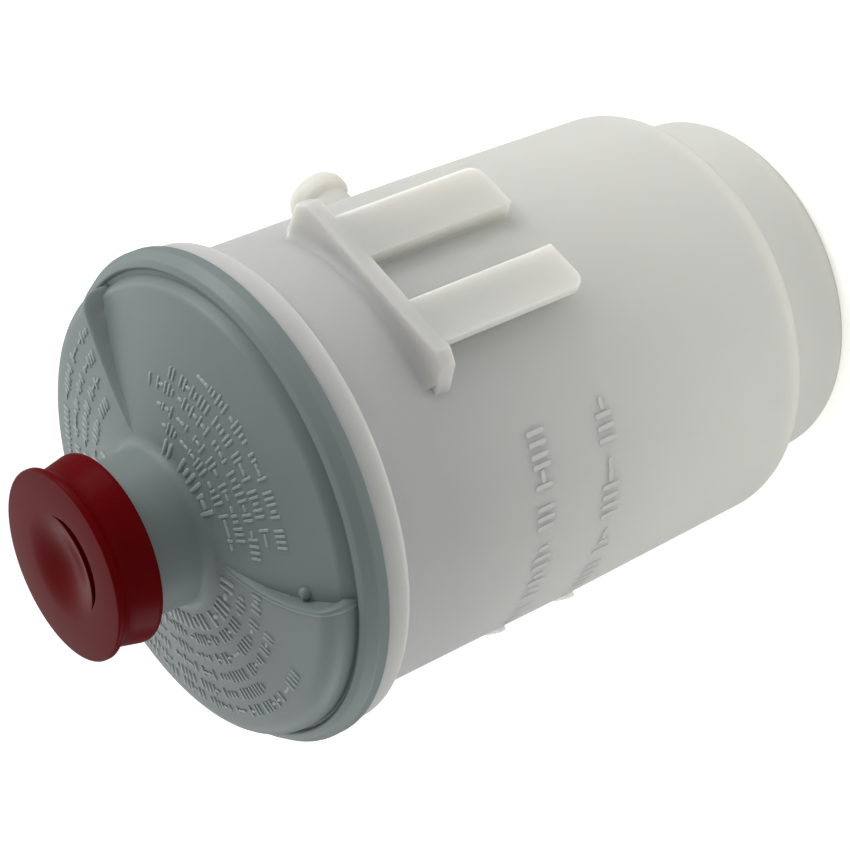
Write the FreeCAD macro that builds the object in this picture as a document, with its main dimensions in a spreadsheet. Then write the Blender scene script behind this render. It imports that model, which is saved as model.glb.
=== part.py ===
"""Power steering reservoir: a round moulded tank with bracket rails, hose nipples, a lid and a push-on cap.

Frame: +Z runs up the tank's axis towards the cap, the origin is the middle of the flat base,
and -Y is the side with the bracket rails. All lengths are in millimetres, all angles in degrees.
"""

import FreeCAD, Part
import math
import os

import Sketcher

Vector = FreeCAD.Vector

# Driving sizes, one line each: name and value. They become the cells of the spreadsheet.
SIZES = [
    # tank shell
    ("wall", 2.2),
    ("body_radius", 44.7),
    ("body_mid_draft", 0.1),
    ("body_low_draft", 1.0),
    ("body_mid_height", 70.6),
    ("body_height", 123.4),
    ("shoulder_width", 6.5),
    ("shoulder_rise", 1.5),
    ("base_draft", 0.4),
    ("base_height", 18.0),
    ("flange_width", 3.3),
    ("flange_thickness", 5.5),
    ("floor_thickness", 2.4),
    ("base_rounding", 3.0),
    ("shoulder_rounding", 4.5),
    ("shoulder_root_bevel", 0.6),
    ("flange_bevel", 0.6),
    ("cavity_bevel", 1.5),
    # bracket rails and the stop plate above them
    ("rail_gap", 12.0),
    ("rail_reach", 17.0),
    ("rail_web", 2.5),
    ("rail_lip", 2.0),
    ("rail_stand", 3.2),
    ("rail_bottom", 69.5),
    ("rail_end_rounding", 3.0),
    ("plate_bottom", 103.0),
    ("plate_thickness", 3.6),
    ("plate_stand", 3.3),
    ("plate_shoulder", 18.5),
    ("plate_corner", 21.0),
    ("plate_foot", 21.8),
    ("plate_far_reach", 3.3),
    ("plate_corner_drop", 2.3),
    ("plate_root", 2.2),
    # return nipple, pointing along +X
    ("return_height", 66.2),
    ("return_reach", 16.5),
    ("return_tube_radius", 5.5),
    ("return_bead_radius", 6.6),
    ("return_tip_radius", 5.2),
    ("return_bore_radius", 3.8),
    # suction nipple, pointing along +Y
    ("suction_height", 9.8),
    ("suction_reach", 24.0),
    ("suction_tube_radius", 7.2),
    ("suction_bead_radius", 8.1),
    ("suction_tip_radius", 6.6),
    ("suction_bore_radius", 5.4),
    ("bead_length", 5.5),
    ("bead_rise", 1.0),
    ("bead_crest", 1.4),
    # level marks
    ("upper_level", 85.8),
    ("lower_level", 67.8),
    ("level_width", 1.5),
    ("level_height", 1.1),
    ("level_start", 129.0),
    ("level_sweep", 22.0),
    # lid
    ("lid_wall", 2.2),
    ("rim_overhang", 0.9),
    ("rim_height", 2.4),
    ("rim_slope_width", 2.1),
    ("rim_slope_height", 1.8),
    ("groove_width", 1.0),
    ("groove_depth", 0.5),
    ("rim_bevel", 0.5),
    ("crown_height", 10.1),
    ("crown_rounding", 4.0),
    ("dome_rise", 4.7),
    ("sector_drop", 4.3),
    ("sector_rounding", 1.5),
    ("sector_edge_inset", 1.0),
    ("step_start_radius", 18.5),
    ("left_wall_near", 316.0),
    ("left_wall_middle", 331.5),
    ("left_wall_far", 335.0),
    ("right_wall_near", 205.0),
    ("right_wall_middle", 199.0),
    ("right_wall_far", 203.0),
    ("wall_near_radius", 16.0),
    ("wall_middle_radius", 31.5),
    ("fin_width", 2.2),
    ("fin_height", 0.9),
    ("fin_start_radius", 19.0),
    ("boss_radius", 0.9),
    ("boss_height", 0.8),
    ("boss_azimuth", 202.5),
    ("boss_distance", 35.4),
    # filler neck
    ("neck_radius", 15.0),
    ("neck_draft", 0.4),
    ("neck_height", 17.0),
    ("neck_wall", 2.1),
    ("neck_rounding", 2.4),
    ("neck_bead", 0.5),
    ("neck_bead_drop", 3.4),
    ("neck_lip_bevel", 0.4),
    # cap
    ("cap_top_height", 4.7),
    ("cap_skirt_depth", 4.8),
    ("cap_bead_gap", 0.4),
    ("cap_wall", 1.5),
    ("cap_lip_overhang", 1.2),
    ("cap_lip_thickness", 1.1),
    ("cap_lip_run", 1.4),
    ("cap_skirt_flare", 1.0),
    ("cap_band", 0.8),
    ("cap_plug_gap", 0.2),
    ("cap_plug_depth", 6.0),
    ("cap_plug_wall", 1.8),
    ("dish_radius", 10.3),
    ("dish_depth", 2.0),
    ("dish_rounding", 2.4),
    ("slot_depth", 1.1),
    ("slot_margin", 0.1),
    ("slot_half_angle", 52.0),
    ("slot_azimuth", 226.0),
    ("slot_width", 1.3),
    ("cap_bevel", 0.4),
    # cap seal
    ("seal_thickness", 1.2),
    ("seal_gap", 0.2),
    # strainer
    ("strainer_gap", 0.4),
    ("strainer_thickness", 2.5),
    ("strainer_skirt_depth", 4.0),
    ("strainer_skirt_wall", 1.6),
    ("strainer_spoke_width", 2.4),
    ("strainer_spoke_height", 1.3),
    ("strainer_hub_radius", 4.5),
    ("strainer_spoke_count", 8),
    ("mesh_thickness", 0.4),
    ("mesh_gap", 0.2),
    ("mesh_seat_width", 1.6),
]

# Sizes that follow from the driving ones.
WORKED_OUT = [
    ("body_mid_radius", "body_radius - body_mid_draft"),
    ("body_low_radius", "body_radius - body_low_draft"),
    ("base_top_radius", "body_low_radius - shoulder_width"),
    ("base_radius", "base_top_radius - base_draft"),
    ("flange_radius", "body_radius + flange_width"),
    ("tank_top", "body_height + flange_thickness"),
    ("shoulder_height", "base_height + shoulder_rise"),
    ("ledge_height", "shoulder_height + wall"),
    ("sump_radius", "base_radius - wall"),
    ("sump_top_radius", "base_top_radius - wall"),
    ("cavity_low_radius", "body_low_radius - wall"),
    ("cavity_mid_radius", "body_mid_radius - wall"),
    ("cavity_top_radius", "body_radius - wall"),
    ("rail_face", "body_mid_radius + rail_stand"),
    ("plate_face", "body_mid_radius + plate_stand"),
    ("plate_top", "plate_bottom + plate_thickness"),
    ("return_tip", "body_mid_radius + return_reach"),
    ("suction_tip", "base_radius + suction_reach"),
    ("rim_radius", "flange_radius + rim_overhang"),
    ("groove_outer", "rim_radius - rim_slope_width"),
    ("crown_radius", "groove_outer - groove_width"),
    ("wall_far_radius", "groove_outer + groove_depth"),
    ("groove_height", "tank_top + rim_height + rim_slope_height - groove_depth"),
    ("crown_top", "tank_top + crown_height"),
    ("neck_foot", "crown_top + dome_rise"),
    ("neck_top", "neck_foot + neck_height"),
    ("neck_foot_radius", "neck_radius + neck_draft"),
    ("dome_slope", "dome_rise / (crown_radius - neck_foot_radius)"),
    ("step_start_height", "neck_foot - dome_slope * (step_start_radius - neck_foot_radius)"),
    ("sector_edge", "crown_radius - 2 * sector_edge_inset"),
    ("sector_edge_height", "crown_top + dome_slope * 2 * sector_edge_inset - sector_drop"),
    ("lid_cavity_radius", "crown_radius - sector_edge_inset - lid_wall"),
    ("neck_bore", "neck_radius - neck_wall"),
    ("cap_underside", "neck_top + seal_thickness"),
    ("cap_top", "neck_top + cap_top_height"),
    ("cap_skirt_bottom", "neck_top - cap_skirt_depth"),
    ("cap_skirt_inner", "neck_radius + neck_bead + cap_bead_gap"),
    ("cap_waist_radius", "cap_skirt_inner + cap_wall"),
    ("cap_lip_radius", "cap_waist_radius + cap_lip_overhang"),
    ("cap_skirt_radius", "cap_waist_radius + cap_skirt_flare"),
    ("cap_plug_radius", "neck_bore - cap_plug_gap"),
    ("slot_radius", "dish_radius + slot_margin"),
    ("strainer_radius", "cavity_low_radius - cavity_bevel - strainer_gap"),
    ("strainer_skirt_radius", "sump_top_radius - strainer_gap"),
    ("strainer_opening", "strainer_skirt_radius - strainer_skirt_wall"),
    ("mesh_height", "ledge_height + strainer_spoke_height"),
    ("mesh_seat_radius", "strainer_opening + mesh_seat_width"),
    ("mesh_radius", "mesh_seat_radius - mesh_gap"),
]

doc = FreeCAD.newDocument("power_steering_reservoir")
sheet = doc.addObject("Spreadsheet::Sheet", "Sizes")


def fill_sheet():
    """Write every driving size and every worked-out size into the spreadsheet."""
    row = 1
    for name, value in SIZES:
        sheet.set(f"A{row}", name)
        sheet.set(f"B{row}", str(value))
        sheet.setAlias(f"B{row}", name)
        row += 1
    for name, formula in WORKED_OUT:
        sheet.set(f"A{row}", name)
        sheet.set(f"B{row}", "=" + formula)
        sheet.setAlias(f"B{row}", name)
        row += 1
    doc.recompute()


fill_sheet()
NAMES = sorted([name for name, _ in SIZES + WORKED_OUT], key=len, reverse=True)


def bound(formula):
    """Return the formula with each size name pointing at the spreadsheet."""
    words = []
    word = ""
    for letter in formula + " ":
        if letter.isalnum() or letter == "_":
            word += letter
            continue
        if word in NAMES:
            word = "Sizes." + word
        words.append(word + letter)
        word = ""
    return "".join(words).strip()


def value_of(formula):
    """Work a formula out from the spreadsheet as a plain number."""
    result = sheet.evalExpression(bound(formula))
    return float(getattr(result, "Value", result))


def bind(thing, prop, formula):
    """Bind one property of an object to a formula in the size names."""
    thing.setExpression(prop, bound(formula))


def origin_feature(body, role):
    """Return the origin plane or axis of a body that has the given role."""
    return next(item for item in body.Origin.OriginFeatures if item.Role == role)


def new_body(label):
    """Start a body for one piece, labelled with the piece's name."""
    body = doc.addObject("PartDesign::Body", "Body_" + label)
    body.Label = label
    return body


def new_sketch(name, body=None, plane="XZ_Plane", lift=None, turn=None):
    """Add a sketch on an origin plane of a body, or a free one in the same place.

    lift is a formula for the offset along Z, and turn one for the angle about Z.
    """
    if body is None:
        sketch = doc.addObject("Sketcher::SketchObject", name)
        if plane == "XZ_Plane":
            sketch.Placement = FreeCAD.Placement(Vector(), FreeCAD.Rotation(Vector(1, 0, 0), 90))
        if lift:
            bind(sketch, "Placement.Base.z", lift)
        return sketch
    sketch = body.newObject("Sketcher::SketchObject", name)
    sketch.AttachmentSupport = [(origin_feature(body, plane), "")]
    sketch.MapMode = "FlatFace"
    upright = plane != "XY_Plane"
    if turn:
        sketch.AttachmentOffset = FreeCAD.Placement(Vector(), FreeCAD.Rotation(Vector(0, 1, 0), 1))
        bind(sketch, "AttachmentOffset.Rotation.Angle", turn)
    if lift:
        bind(sketch, "AttachmentOffset.Base.y" if upright else "AttachmentOffset.Base.z", lift)
    return sketch


def pin_point(sketch, edge, end, corner):
    """Hold one end of an edge at a corner, given as two formulas."""
    for kind, formula in zip(("DistanceX", "DistanceY"), corner):
        number = sketch.addConstraint(Sketcher.Constraint(kind, -1, 1, edge, end, value_of(formula)))
        if formula != "0":
            sketch.setExpression(f"Constraints[{number}]", bound(formula))


def middle_of_arc(start, end, radius):
    """Return the middle of an arc; a positive radius bulges to the right of the way walked."""
    chord = end - start
    half = chord.Length / 2
    size = max(abs(radius), half * 1.001)
    side = Vector(chord.y, -chord.x, 0).normalize() * math.copysign(1, radius)
    rise = size - math.sqrt(size * size - half * half)
    return (start + end) * 0.5 + side * rise


def bend_at(before, corner, after, radius):
    """Return where an arc of the given radius touches the two sides of a corner, and its middle point."""
    back = (before - corner).normalize()
    ahead = (after - corner).normalize()
    half = back.getAngle(ahead) / 2
    reach = radius / math.tan(half)
    inward = (back + ahead).normalize()
    middle = corner + inward * (radius / math.sin(half) - radius)
    return corner + back * reach, middle, corner + ahead * reach


def closed_outline(sketch, corners, arcs=None):
    """Draw a closed outline of (across, up) or (across, up, rounding) corners, all given as formulas.

    The sides are straight, except where arcs gives the radius of the side after a corner.
    """
    arcs = arcs or {}
    count = len(corners)
    places = [Vector(value_of(corner[0]), value_of(corner[1]), 0) for corner in corners]
    bends = {}
    for index, corner in enumerate(corners):
        if len(corner) == 3:
            bends[index] = bend_at(places[index - 1], places[index], places[(index + 1) % count],
                                   value_of(corner[2]))
    chain = []
    sides = []
    for index in range(count):
        following = (index + 1) % count
        start = bends[index][2] if index in bends else places[index]
        end = bends[following][0] if following in bends else places[following]
        sides.append(len(chain))
        if index in arcs:
            chain.append(add_arc(sketch, start, middle_of_arc(start, end, value_of(arcs[index])), end))
        else:
            chain.append((sketch.addGeometry(Part.LineSegment(start, end)), 1, 2))
        if following in bends:
            chain.append(add_arc(sketch, *bends[following]))
    for index, (edge, _, end) in enumerate(chain):
        following, start, _ = chain[(index + 1) % len(chain)]
        round_side = index not in sides or (index + 1) % len(chain) not in sides
        kind = "Tangent" if round_side else "Coincident"
        sketch.addConstraint(Sketcher.Constraint(kind, edge, end, following, start))
    for index, corner in enumerate(corners):
        edge, start, _ = chain[sides[index]]
        if index not in bends:
            pin_point(sketch, edge, start, corner)
            continue
        point = sketch.addGeometry(Part.Point(places[index]), True)
        pin_point(sketch, point, 1, corner)
        for line in (edge, chain[sides[index - 1]][0]):
            sketch.addConstraint(Sketcher.Constraint("PointOnObject", point, 1, line))
        bind_radius(sketch, chain[sides[index] - 1][0], corner[2])
    for index, formula in arcs.items():
        bind_radius(sketch, chain[sides[index]][0], f"abs({formula})")
    return sketch


def add_arc(sketch, start, middle, end):
    """Add an arc through three points and return its number, with its ends in the order walked."""
    number = sketch.addGeometry(Part.Arc(start, middle, end))
    turns_left = (middle - start).cross(end - middle).z > 0
    return (number, 1, 2) if turns_left else (number, 2, 1)


def bind_radius(sketch, edge, formula):
    """Hold the radius of an arc at a formula's value."""
    number = sketch.addConstraint(Sketcher.Constraint("Radius", edge, value_of(formula)))
    sketch.setExpression(f"Constraints[{number}]", bound(formula))


def turned(body, name, sketch, axis="V_Axis", cut=False, angle=None):
    """Revolve a sketch about one of its axes, as added or as removed material."""
    kind = "PartDesign::Groove" if cut else "PartDesign::Revolution"
    feature = body.newObject(kind, name)
    feature.Profile = sketch
    feature.ReferenceAxis = (sketch, [axis])
    feature.Angle = 360
    if angle:
        bind(feature, "Angle", angle)
    doc.recompute()
    return feature


def padded(body, name, sketch, length):
    """Pad a sketch along its normal by a formula's length."""
    pad = body.newObject("PartDesign::Pad", name)
    pad.Profile = sketch
    bind(pad, "Length", length)
    doc.recompute()
    return pad


def rounded(body, name, base, edges, radius):
    """Round edges of the last feature of a body."""
    if not edges:
        raise RuntimeError(f"{name}: no edge to round")
    fillet = body.newObject("PartDesign::Fillet", name)
    fillet.Base = (base, edges)
    bind(fillet, "Radius", radius)
    doc.recompute()
    return fillet


def ring_edges(shape, *rings):
    """Name the circular edges about the Z axis at each (radius, height) pair of formulas."""
    found = []
    for radius, height in rings:
        wanted = (value_of(radius), value_of(height))
        for number, edge in enumerate(shape.Edges, 1):
            if edge.Degenerated:
                continue
            curve = edge.Curve
            if not isinstance(curve, Part.Circle) or math.hypot(curve.Center.x, curve.Center.y) > 0.01:
                continue
            if abs(curve.Radius - wanted[0]) < 0.02 and abs(curve.Center.z - wanted[1]) < 0.02:
                found.append(f"Edge{number}")
    return found


def check_volume(before, after, grows):
    """Stop where a feature adds or removes nothing."""
    change = after.Shape.Volume - before.Shape.Volume
    if (change > 0) != grows or abs(change) < 1e-3:
        raise RuntimeError(f"{after.Name} changes the volume by {change:.3f}")


def build_tank():
    """The moulded tank: shell, flange, bracket rails, stop plate, hose nipples and level marks."""
    body = new_body("tank")
    outline = closed_outline(new_sketch("tank_outline", body), [
        ("0", "0"),
        ("base_radius", "0", "base_rounding"),
        ("base_top_radius", "base_height - shoulder_root_bevel"),
        ("base_top_radius + shoulder_root_bevel", "base_height"),
        ("body_low_radius", "shoulder_height", "shoulder_rounding"),
        ("body_mid_radius", "body_mid_height"),
        ("body_radius", "body_height - flange_bevel"),
        ("body_radius + flange_bevel", "body_height"),
        ("flange_radius - flange_bevel", "body_height"),
        ("flange_radius", "body_height + flange_bevel"),
        ("flange_radius", "tank_top"),
        ("0", "tank_top"),
    ])
    shell = turned(body, "tank_shell", outline)
    railed = add_rails(body, shell)
    nippled = add_nipples(body, railed)
    marked = add_level_marks(body, nippled)
    hollow = cut_cavity(body, marked)
    cut_bores(body, hollow)
    return body


def add_rails(body, before):
    """Two L-shaped rails that face away from each other, and the plate that stops the bracket."""
    root = "-(body_low_radius - wall)"
    under_lip = "-(rail_face - rail_lip)"
    section = closed_outline(new_sketch("rail_section", body, "XY_Plane", lift="rail_bottom"), [
        ("rail_gap / 2", root),
        ("rail_gap / 2", "-rail_face"),
        ("rail_reach", "-rail_face"),
        ("rail_reach", under_lip),
        ("rail_gap / 2 + rail_web", under_lip),
        ("rail_gap / 2 + rail_web", root),
    ])
    rail = padded(body, "rail", section, "plate_bottom - rail_bottom + plate_thickness / 2")
    check_volume(before, rail, True)
    pair = body.newObject("PartDesign::Mirrored", "rail_pair")
    pair.Originals = [rail]
    pair.MirrorPlane = (origin_feature(body, "YZ_Plane"), [""])
    body.Tip = pair
    doc.recompute()
    check_volume(rail, pair, True)
    ends = []
    for number, edge in enumerate(pair.Shape.Edges, 1):
        middle = edge.CenterOfMass
        at_end = abs(middle.z - value_of("rail_bottom")) < 0.01
        at_tip = abs(abs(middle.x) - value_of("rail_reach")) < 0.01
        if at_end and at_tip:
            ends.append(f"Edge{number}")
    soft = rounded(body, "rail_end_bend", pair, ends, "rail_end_rounding")
    shape = closed_outline(new_sketch("plate_outline", body, "XY_Plane", lift="plate_bottom"), [
        ("plate_foot + plate_far_reach", "-(body_low_radius - 3 * wall)"),
        ("plate_corner + plate_far_reach", "-(plate_face - plate_corner_drop)"),
        ("plate_shoulder + plate_far_reach", "-plate_face"),
        ("-plate_shoulder", "-plate_face"),
        ("-plate_corner", "-(plate_face - plate_corner_drop)"),
        ("-plate_foot", "-(body_low_radius - 3 * wall)"),
    ])
    plate = padded(body, "stop_plate", shape, "plate_thickness")
    check_volume(soft, plate, True)
    near_sweep = "asin(plate_foot / body_mid_radius)"
    far_sweep = "asin((plate_foot + plate_far_reach) / body_mid_radius)"
    root = new_sketch("plate_root_section", body, "XZ_Plane", turn=f"270 deg - {near_sweep}")
    inside = "body_low_radius - wall / 2"
    closed_outline(root, [
        (inside, "plate_top - plate_thickness / 2"),
        ("body_mid_radius + plate_root", "plate_top - plate_thickness / 2"),
        ("body_mid_radius + plate_root", "plate_top"),
        ("body_mid_radius", "plate_top + plate_root"),
        (inside, "plate_top + plate_root"),
    ], {2: "-1.1 * plate_root"})
    swept = turned(body, "plate_root_bend", root, angle=f"{near_sweep} + {far_sweep}")
    check_volume(plate, swept, True)
    return swept


def nipple_outline(sketch, name, base_radius):
    """Half section of a hose nipple with a rounded bead at its free end."""
    return closed_outline(sketch, [
        (f"{base_radius} - wall", "0"),
        (f"{base_radius} - wall", f"{name}_tube_radius"),
        (f"{name}_tip - bead_length", f"{name}_tube_radius"),
        (f"{name}_tip - bead_length + bead_rise", f"{name}_bead_radius"),
        (f"{name}_tip - bead_length + bead_rise + bead_crest", f"{name}_bead_radius"),
        (f"{name}_tip", f"{name}_tip_radius"),
        (f"{name}_tip", "0"),
    ], {4: "-1.6 * bead_length"})


def add_nipples(body, before):
    """The return nipple on the side of the tank and the suction nipple on the base."""
    section = nipple_outline(new_sketch("return_section", body, "XZ_Plane", lift="return_height"),
                             "return", "body_mid_radius")
    first = turned(body, "return_nipple", section, "H_Axis")
    check_volume(before, first, True)
    section = nipple_outline(new_sketch("suction_section", body, "YZ_Plane", lift="suction_height"),
                             "suction", "base_radius")
    second = turned(body, "suction_nipple", section, "H_Axis")
    check_volume(first, second, True)
    return second


def add_level_marks(body, before):
    """Raised bars on the tank's side at the upper and the lower fluid level."""
    for name in ("upper", "lower"):
        sketch = new_sketch(f"{name}_level_section", body, "XZ_Plane", turn="level_start")
        closed_outline(sketch, [
            ("body_low_radius - wall / 2", f"{name}_level - level_width / 2"),
            ("body_mid_radius + level_height", f"{name}_level - level_width / 2"),
            ("body_mid_radius + level_height", f"{name}_level + level_width / 2"),
            ("body_low_radius - wall / 2", f"{name}_level + level_width / 2"),
        ])
        mark = turned(body, f"{name}_level_mark", sketch, angle="level_sweep")
        check_volume(before, mark, True)
        before = mark
    return before


def cut_cavity(body, before):
    """The hollow of the tank: the chamber, and the sump below the strainer's ledge."""
    outline = closed_outline(new_sketch("cavity_outline", body), [
        ("0", "floor_thickness"),
        ("sump_radius - cavity_bevel", "floor_thickness"),
        ("sump_radius", "floor_thickness + cavity_bevel"),
        ("sump_top_radius", "ledge_height"),
        ("cavity_low_radius - cavity_bevel", "ledge_height"),
        ("cavity_low_radius", "ledge_height + cavity_bevel"),
        ("cavity_mid_radius", "body_mid_height"),
        ("cavity_top_radius", "body_height"),
        ("cavity_top_radius", "tank_top"),
        ("0", "tank_top"),
    ])
    hollow = turned(body, "cavity", outline, cut=True)
    check_volume(before, hollow, False)
    return hollow


def cut_bores(body, before):
    """The bores of both nipples, through the tank's wall."""
    for name, plane, inner in (("return", "XZ_Plane", "cavity_mid_radius"),
                               ("suction", "YZ_Plane", "sump_radius")):
        sketch = new_sketch(f"{name}_bore_section", body, plane, lift=f"{name}_height")
        closed_outline(sketch, [
            (f"{inner} - 2 * wall", "0"),
            (f"{name}_tip + wall", "0"),
            (f"{name}_tip + wall", f"{name}_bore_radius"),
            (f"{inner} - 2 * wall", f"{name}_bore_radius"),
        ])
        bore = turned(body, f"{name}_bore", sketch, "H_Axis", cut=True)
        check_volume(before, bore, False)
        before = bore
    return before


def solid_of_revolution(name, corners, arcs=None):
    """Turn a closed half section about the Z axis into a solid."""
    sketch = closed_outline(new_sketch(name + "_section"), corners, arcs)
    solid = doc.addObject("Part::Revolution", name)
    solid.Source = sketch
    solid.Axis = Vector(0, 0, 1)
    solid.Angle = 360
    solid.Solid = True
    doc.recompute()
    return solid


def upright_prism(name, sketch, height):
    """Extrude a flat outline straight up."""
    prism = doc.addObject("Part::Extrusion", name)
    prism.Base = sketch
    prism.DirMode = "Custom"
    prism.Dir = Vector(0, 0, 1)
    prism.Solid = True
    bind(prism, "LengthFwd", height)
    doc.recompute()
    return prism


def combine(kind, name, base, tool):
    """Join two solids with a Part boolean: Cut, Fuse or Common."""
    result = doc.addObject("Part::" + kind, name)
    result.Base = base
    result.Tool = tool
    doc.recompute()
    return result


def polar(radius, azimuth):
    """Formulas for the point at a radius and an azimuth."""
    return (f"{radius} * cos({azimuth})", f"{radius} * sin({azimuth})")


def three_point_outline(sketch, corners, middles):
    """Draw a closed outline whose sides are arcs, each through a middle point held by formulas."""
    places = [Vector(value_of(across), value_of(up), 0) for across, up in corners]
    chain = []
    for index, middle in enumerate(middles):
        start, end = places[index], places[(index + 1) % len(places)]
        through = Vector(value_of(middle[0]), value_of(middle[1]), 0)
        chain.append(add_arc(sketch, start, through, end))
    for index, (edge, start, end) in enumerate(chain):
        following, first, _ = chain[(index + 1) % len(chain)]
        sketch.addConstraint(Sketcher.Constraint("Coincident", edge, end, following, first))
        pin_point(sketch, edge, start, corners[index])
    for (edge, _, _), middle in zip(chain, middles):
        through = Vector(value_of(middle[0]), value_of(middle[1]), 0)
        point = sketch.addGeometry(Part.Point(through), True)
        pin_point(sketch, point, 1, middle)
        sketch.addConstraint(Sketcher.Constraint("PointOnObject", point, 1, edge))
    return sketch


def wall_point(side, place, growth="0"):
    """Formulas for the near, middle or far point of a step wall, moved out of the sector by a growth."""
    radius = f"wall_{place}_radius"
    sign = "+" if side == "left" else "-"
    return polar(radius, f"({side}_wall_{place} {sign} {growth} / {radius} * 180 / pi)")


def sector_outline(name, growth="0"):
    """Plan of the lid's lower sector: two curved walls, closed by arcs near the neck and past the rim."""
    front = "(left_wall_far + right_wall_far) / 2"
    corners = [wall_point(side, place, growth)
               for side, place in (("right", "near"), ("right", "far"), ("left", "far"), ("left", "near"))]
    middles = [
        wall_point("right", "middle", growth),
        polar("wall_far_radius", front),
        wall_point("left", "middle", growth),
        polar("wall_near_radius", front),
    ]
    sketch = new_sketch(name, plane="XY_Plane", lift="tank_top")
    return three_point_outline(sketch, corners, middles)


def fin_outline(name, side):
    """Plan of the slim rib along one wall: a lens about the wall, whose inner half the sector cuts off."""
    ends = [wall_point(side, "near"), wall_point(side, "far")]
    middles = [wall_point(side, "middle", "fin_width"), wall_point(side, "middle", "-fin_width")]
    if side == "right":
        middles.reverse()
    middles.reverse()
    return three_point_outline(new_sketch(name, plane="XY_Plane", lift="tank_top"), ends, middles)


def sector_ring(name, drop, inset):
    """Ring above the lower sector's surface, sunk by drop and drawn in by inset from the crown's wall."""
    start = f"step_start_height - {drop}"
    return solid_of_revolution(name, [
        ("step_start_radius", start),
        (f"sector_edge - {inset}", f"sector_edge_height - {drop}", "sector_rounding"),
        (f"crown_radius - sector_edge_inset - {inset}", f"groove_height - {drop}"),
        (f"groove_outer - groove_width / 2 - {inset}", f"groove_height - {drop}"),
        (f"groove_outer + groove_depth / 2 - {inset}", f"groove_height + groove_depth - {drop}"),
        (f"groove_outer + groove_depth / 2 - {inset}", "neck_top"),
        ("step_start_radius", "neck_top"),
    ])


def build_lid():
    """The welded lid: rim, groove, stepped crown with its lower sector, crescent ribs and filler neck."""
    bead_height = "neck_top - neck_bead_drop"
    outer = solid_of_revolution("lid_outer", [
        ("0", "tank_top"),
        ("rim_radius", "tank_top"),
        ("rim_radius", "tank_top + rim_height - rim_bevel"),
        ("rim_radius - rim_bevel", "tank_top + rim_height + rim_bevel"),
        ("groove_outer", "tank_top + rim_height + rim_slope_height"),
        ("crown_radius", "groove_height"),
        ("crown_radius", "crown_top", "crown_rounding"),
        ("neck_foot_radius", "neck_foot", "neck_rounding"),
        ("neck_radius", f"{bead_height} - neck_bead"),
        ("neck_radius + neck_bead", bead_height),
        ("neck_radius + neck_bead", f"{bead_height} + neck_bead"),
        ("neck_radius", "neck_top - neck_lip_bevel"),
        ("neck_radius - neck_lip_bevel", "neck_top"),
        ("0", "neck_top"),
    ])
    raised = solid_of_revolution("fin_band", [
        ("fin_start_radius", "groove_height"),
        ("crown_radius + fin_height", "groove_height"),
        ("crown_radius + fin_height", "crown_top + fin_height", "crown_rounding"),
        ("fin_start_radius", "step_start_height + fin_height"),
    ])
    prisms = [upright_prism(f"{side}_fin_prism", fin_outline(f"{side}_fin_plan", side),
                            "neck_top - tank_top") for side in ("left", "right")]
    fins = combine("Common", "fins", raised, combine("Fuse", "fin_prisms", *prisms))
    finned = combine("Fuse", "lid_finned", outer, fins)

    ring = sector_ring("sector_ring", "0", "0")
    sector = upright_prism("sector_prism", sector_outline("sector_plan"), "neck_top - tank_top")
    stepped = combine("Cut", "lid_stepped", finned, combine("Common", "sector_tool", ring, sector))

    boss = doc.addObject("Part::Cone", "boss")
    bind(boss, "Radius1", "boss_radius + boss_height / 2")
    bind(boss, "Radius2", "boss_radius / 2")
    bind(boss, "Height", "2 * boss_height")
    across, along = polar("boss_distance", "boss_azimuth")
    bind(boss, "Placement.Base.x", across)
    bind(boss, "Placement.Base.y", along)
    slope = "(step_start_height - sector_edge_height) / (sector_edge - step_start_radius)"
    bind(boss, "Placement.Base.z",
         f"step_start_height - {slope} * (boss_distance - step_start_radius) - boss_height")
    bossed = combine("Fuse", "lid_bossed", stepped, boss)

    underside = "neck_foot + dome_slope * (neck_foot_radius - neck_bore) - lid_wall"
    inner = solid_of_revolution("lid_inner", [
        ("0", "tank_top"),
        ("lid_cavity_radius", "tank_top"),
        ("lid_cavity_radius", "crown_top + dome_slope * (crown_radius - lid_cavity_radius) - lid_wall"),
        ("neck_bore", underside),
        ("neck_bore", "neck_top"),
        ("0", "neck_top"),
    ])
    thick = sector_ring("sector_inner_ring", "lid_wall", "lid_wall")
    grown = upright_prism("sector_grown_prism", sector_outline("sector_grown_plan", "lid_wall"),
                          "neck_top - tank_top")
    hollow = combine("Cut", "lid_hollow", inner, combine("Common", "sector_filler", thick, grown))
    lid = combine("Cut", "lid_shell", bossed, hollow)
    lid.Label = "lid"
    return lid


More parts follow.
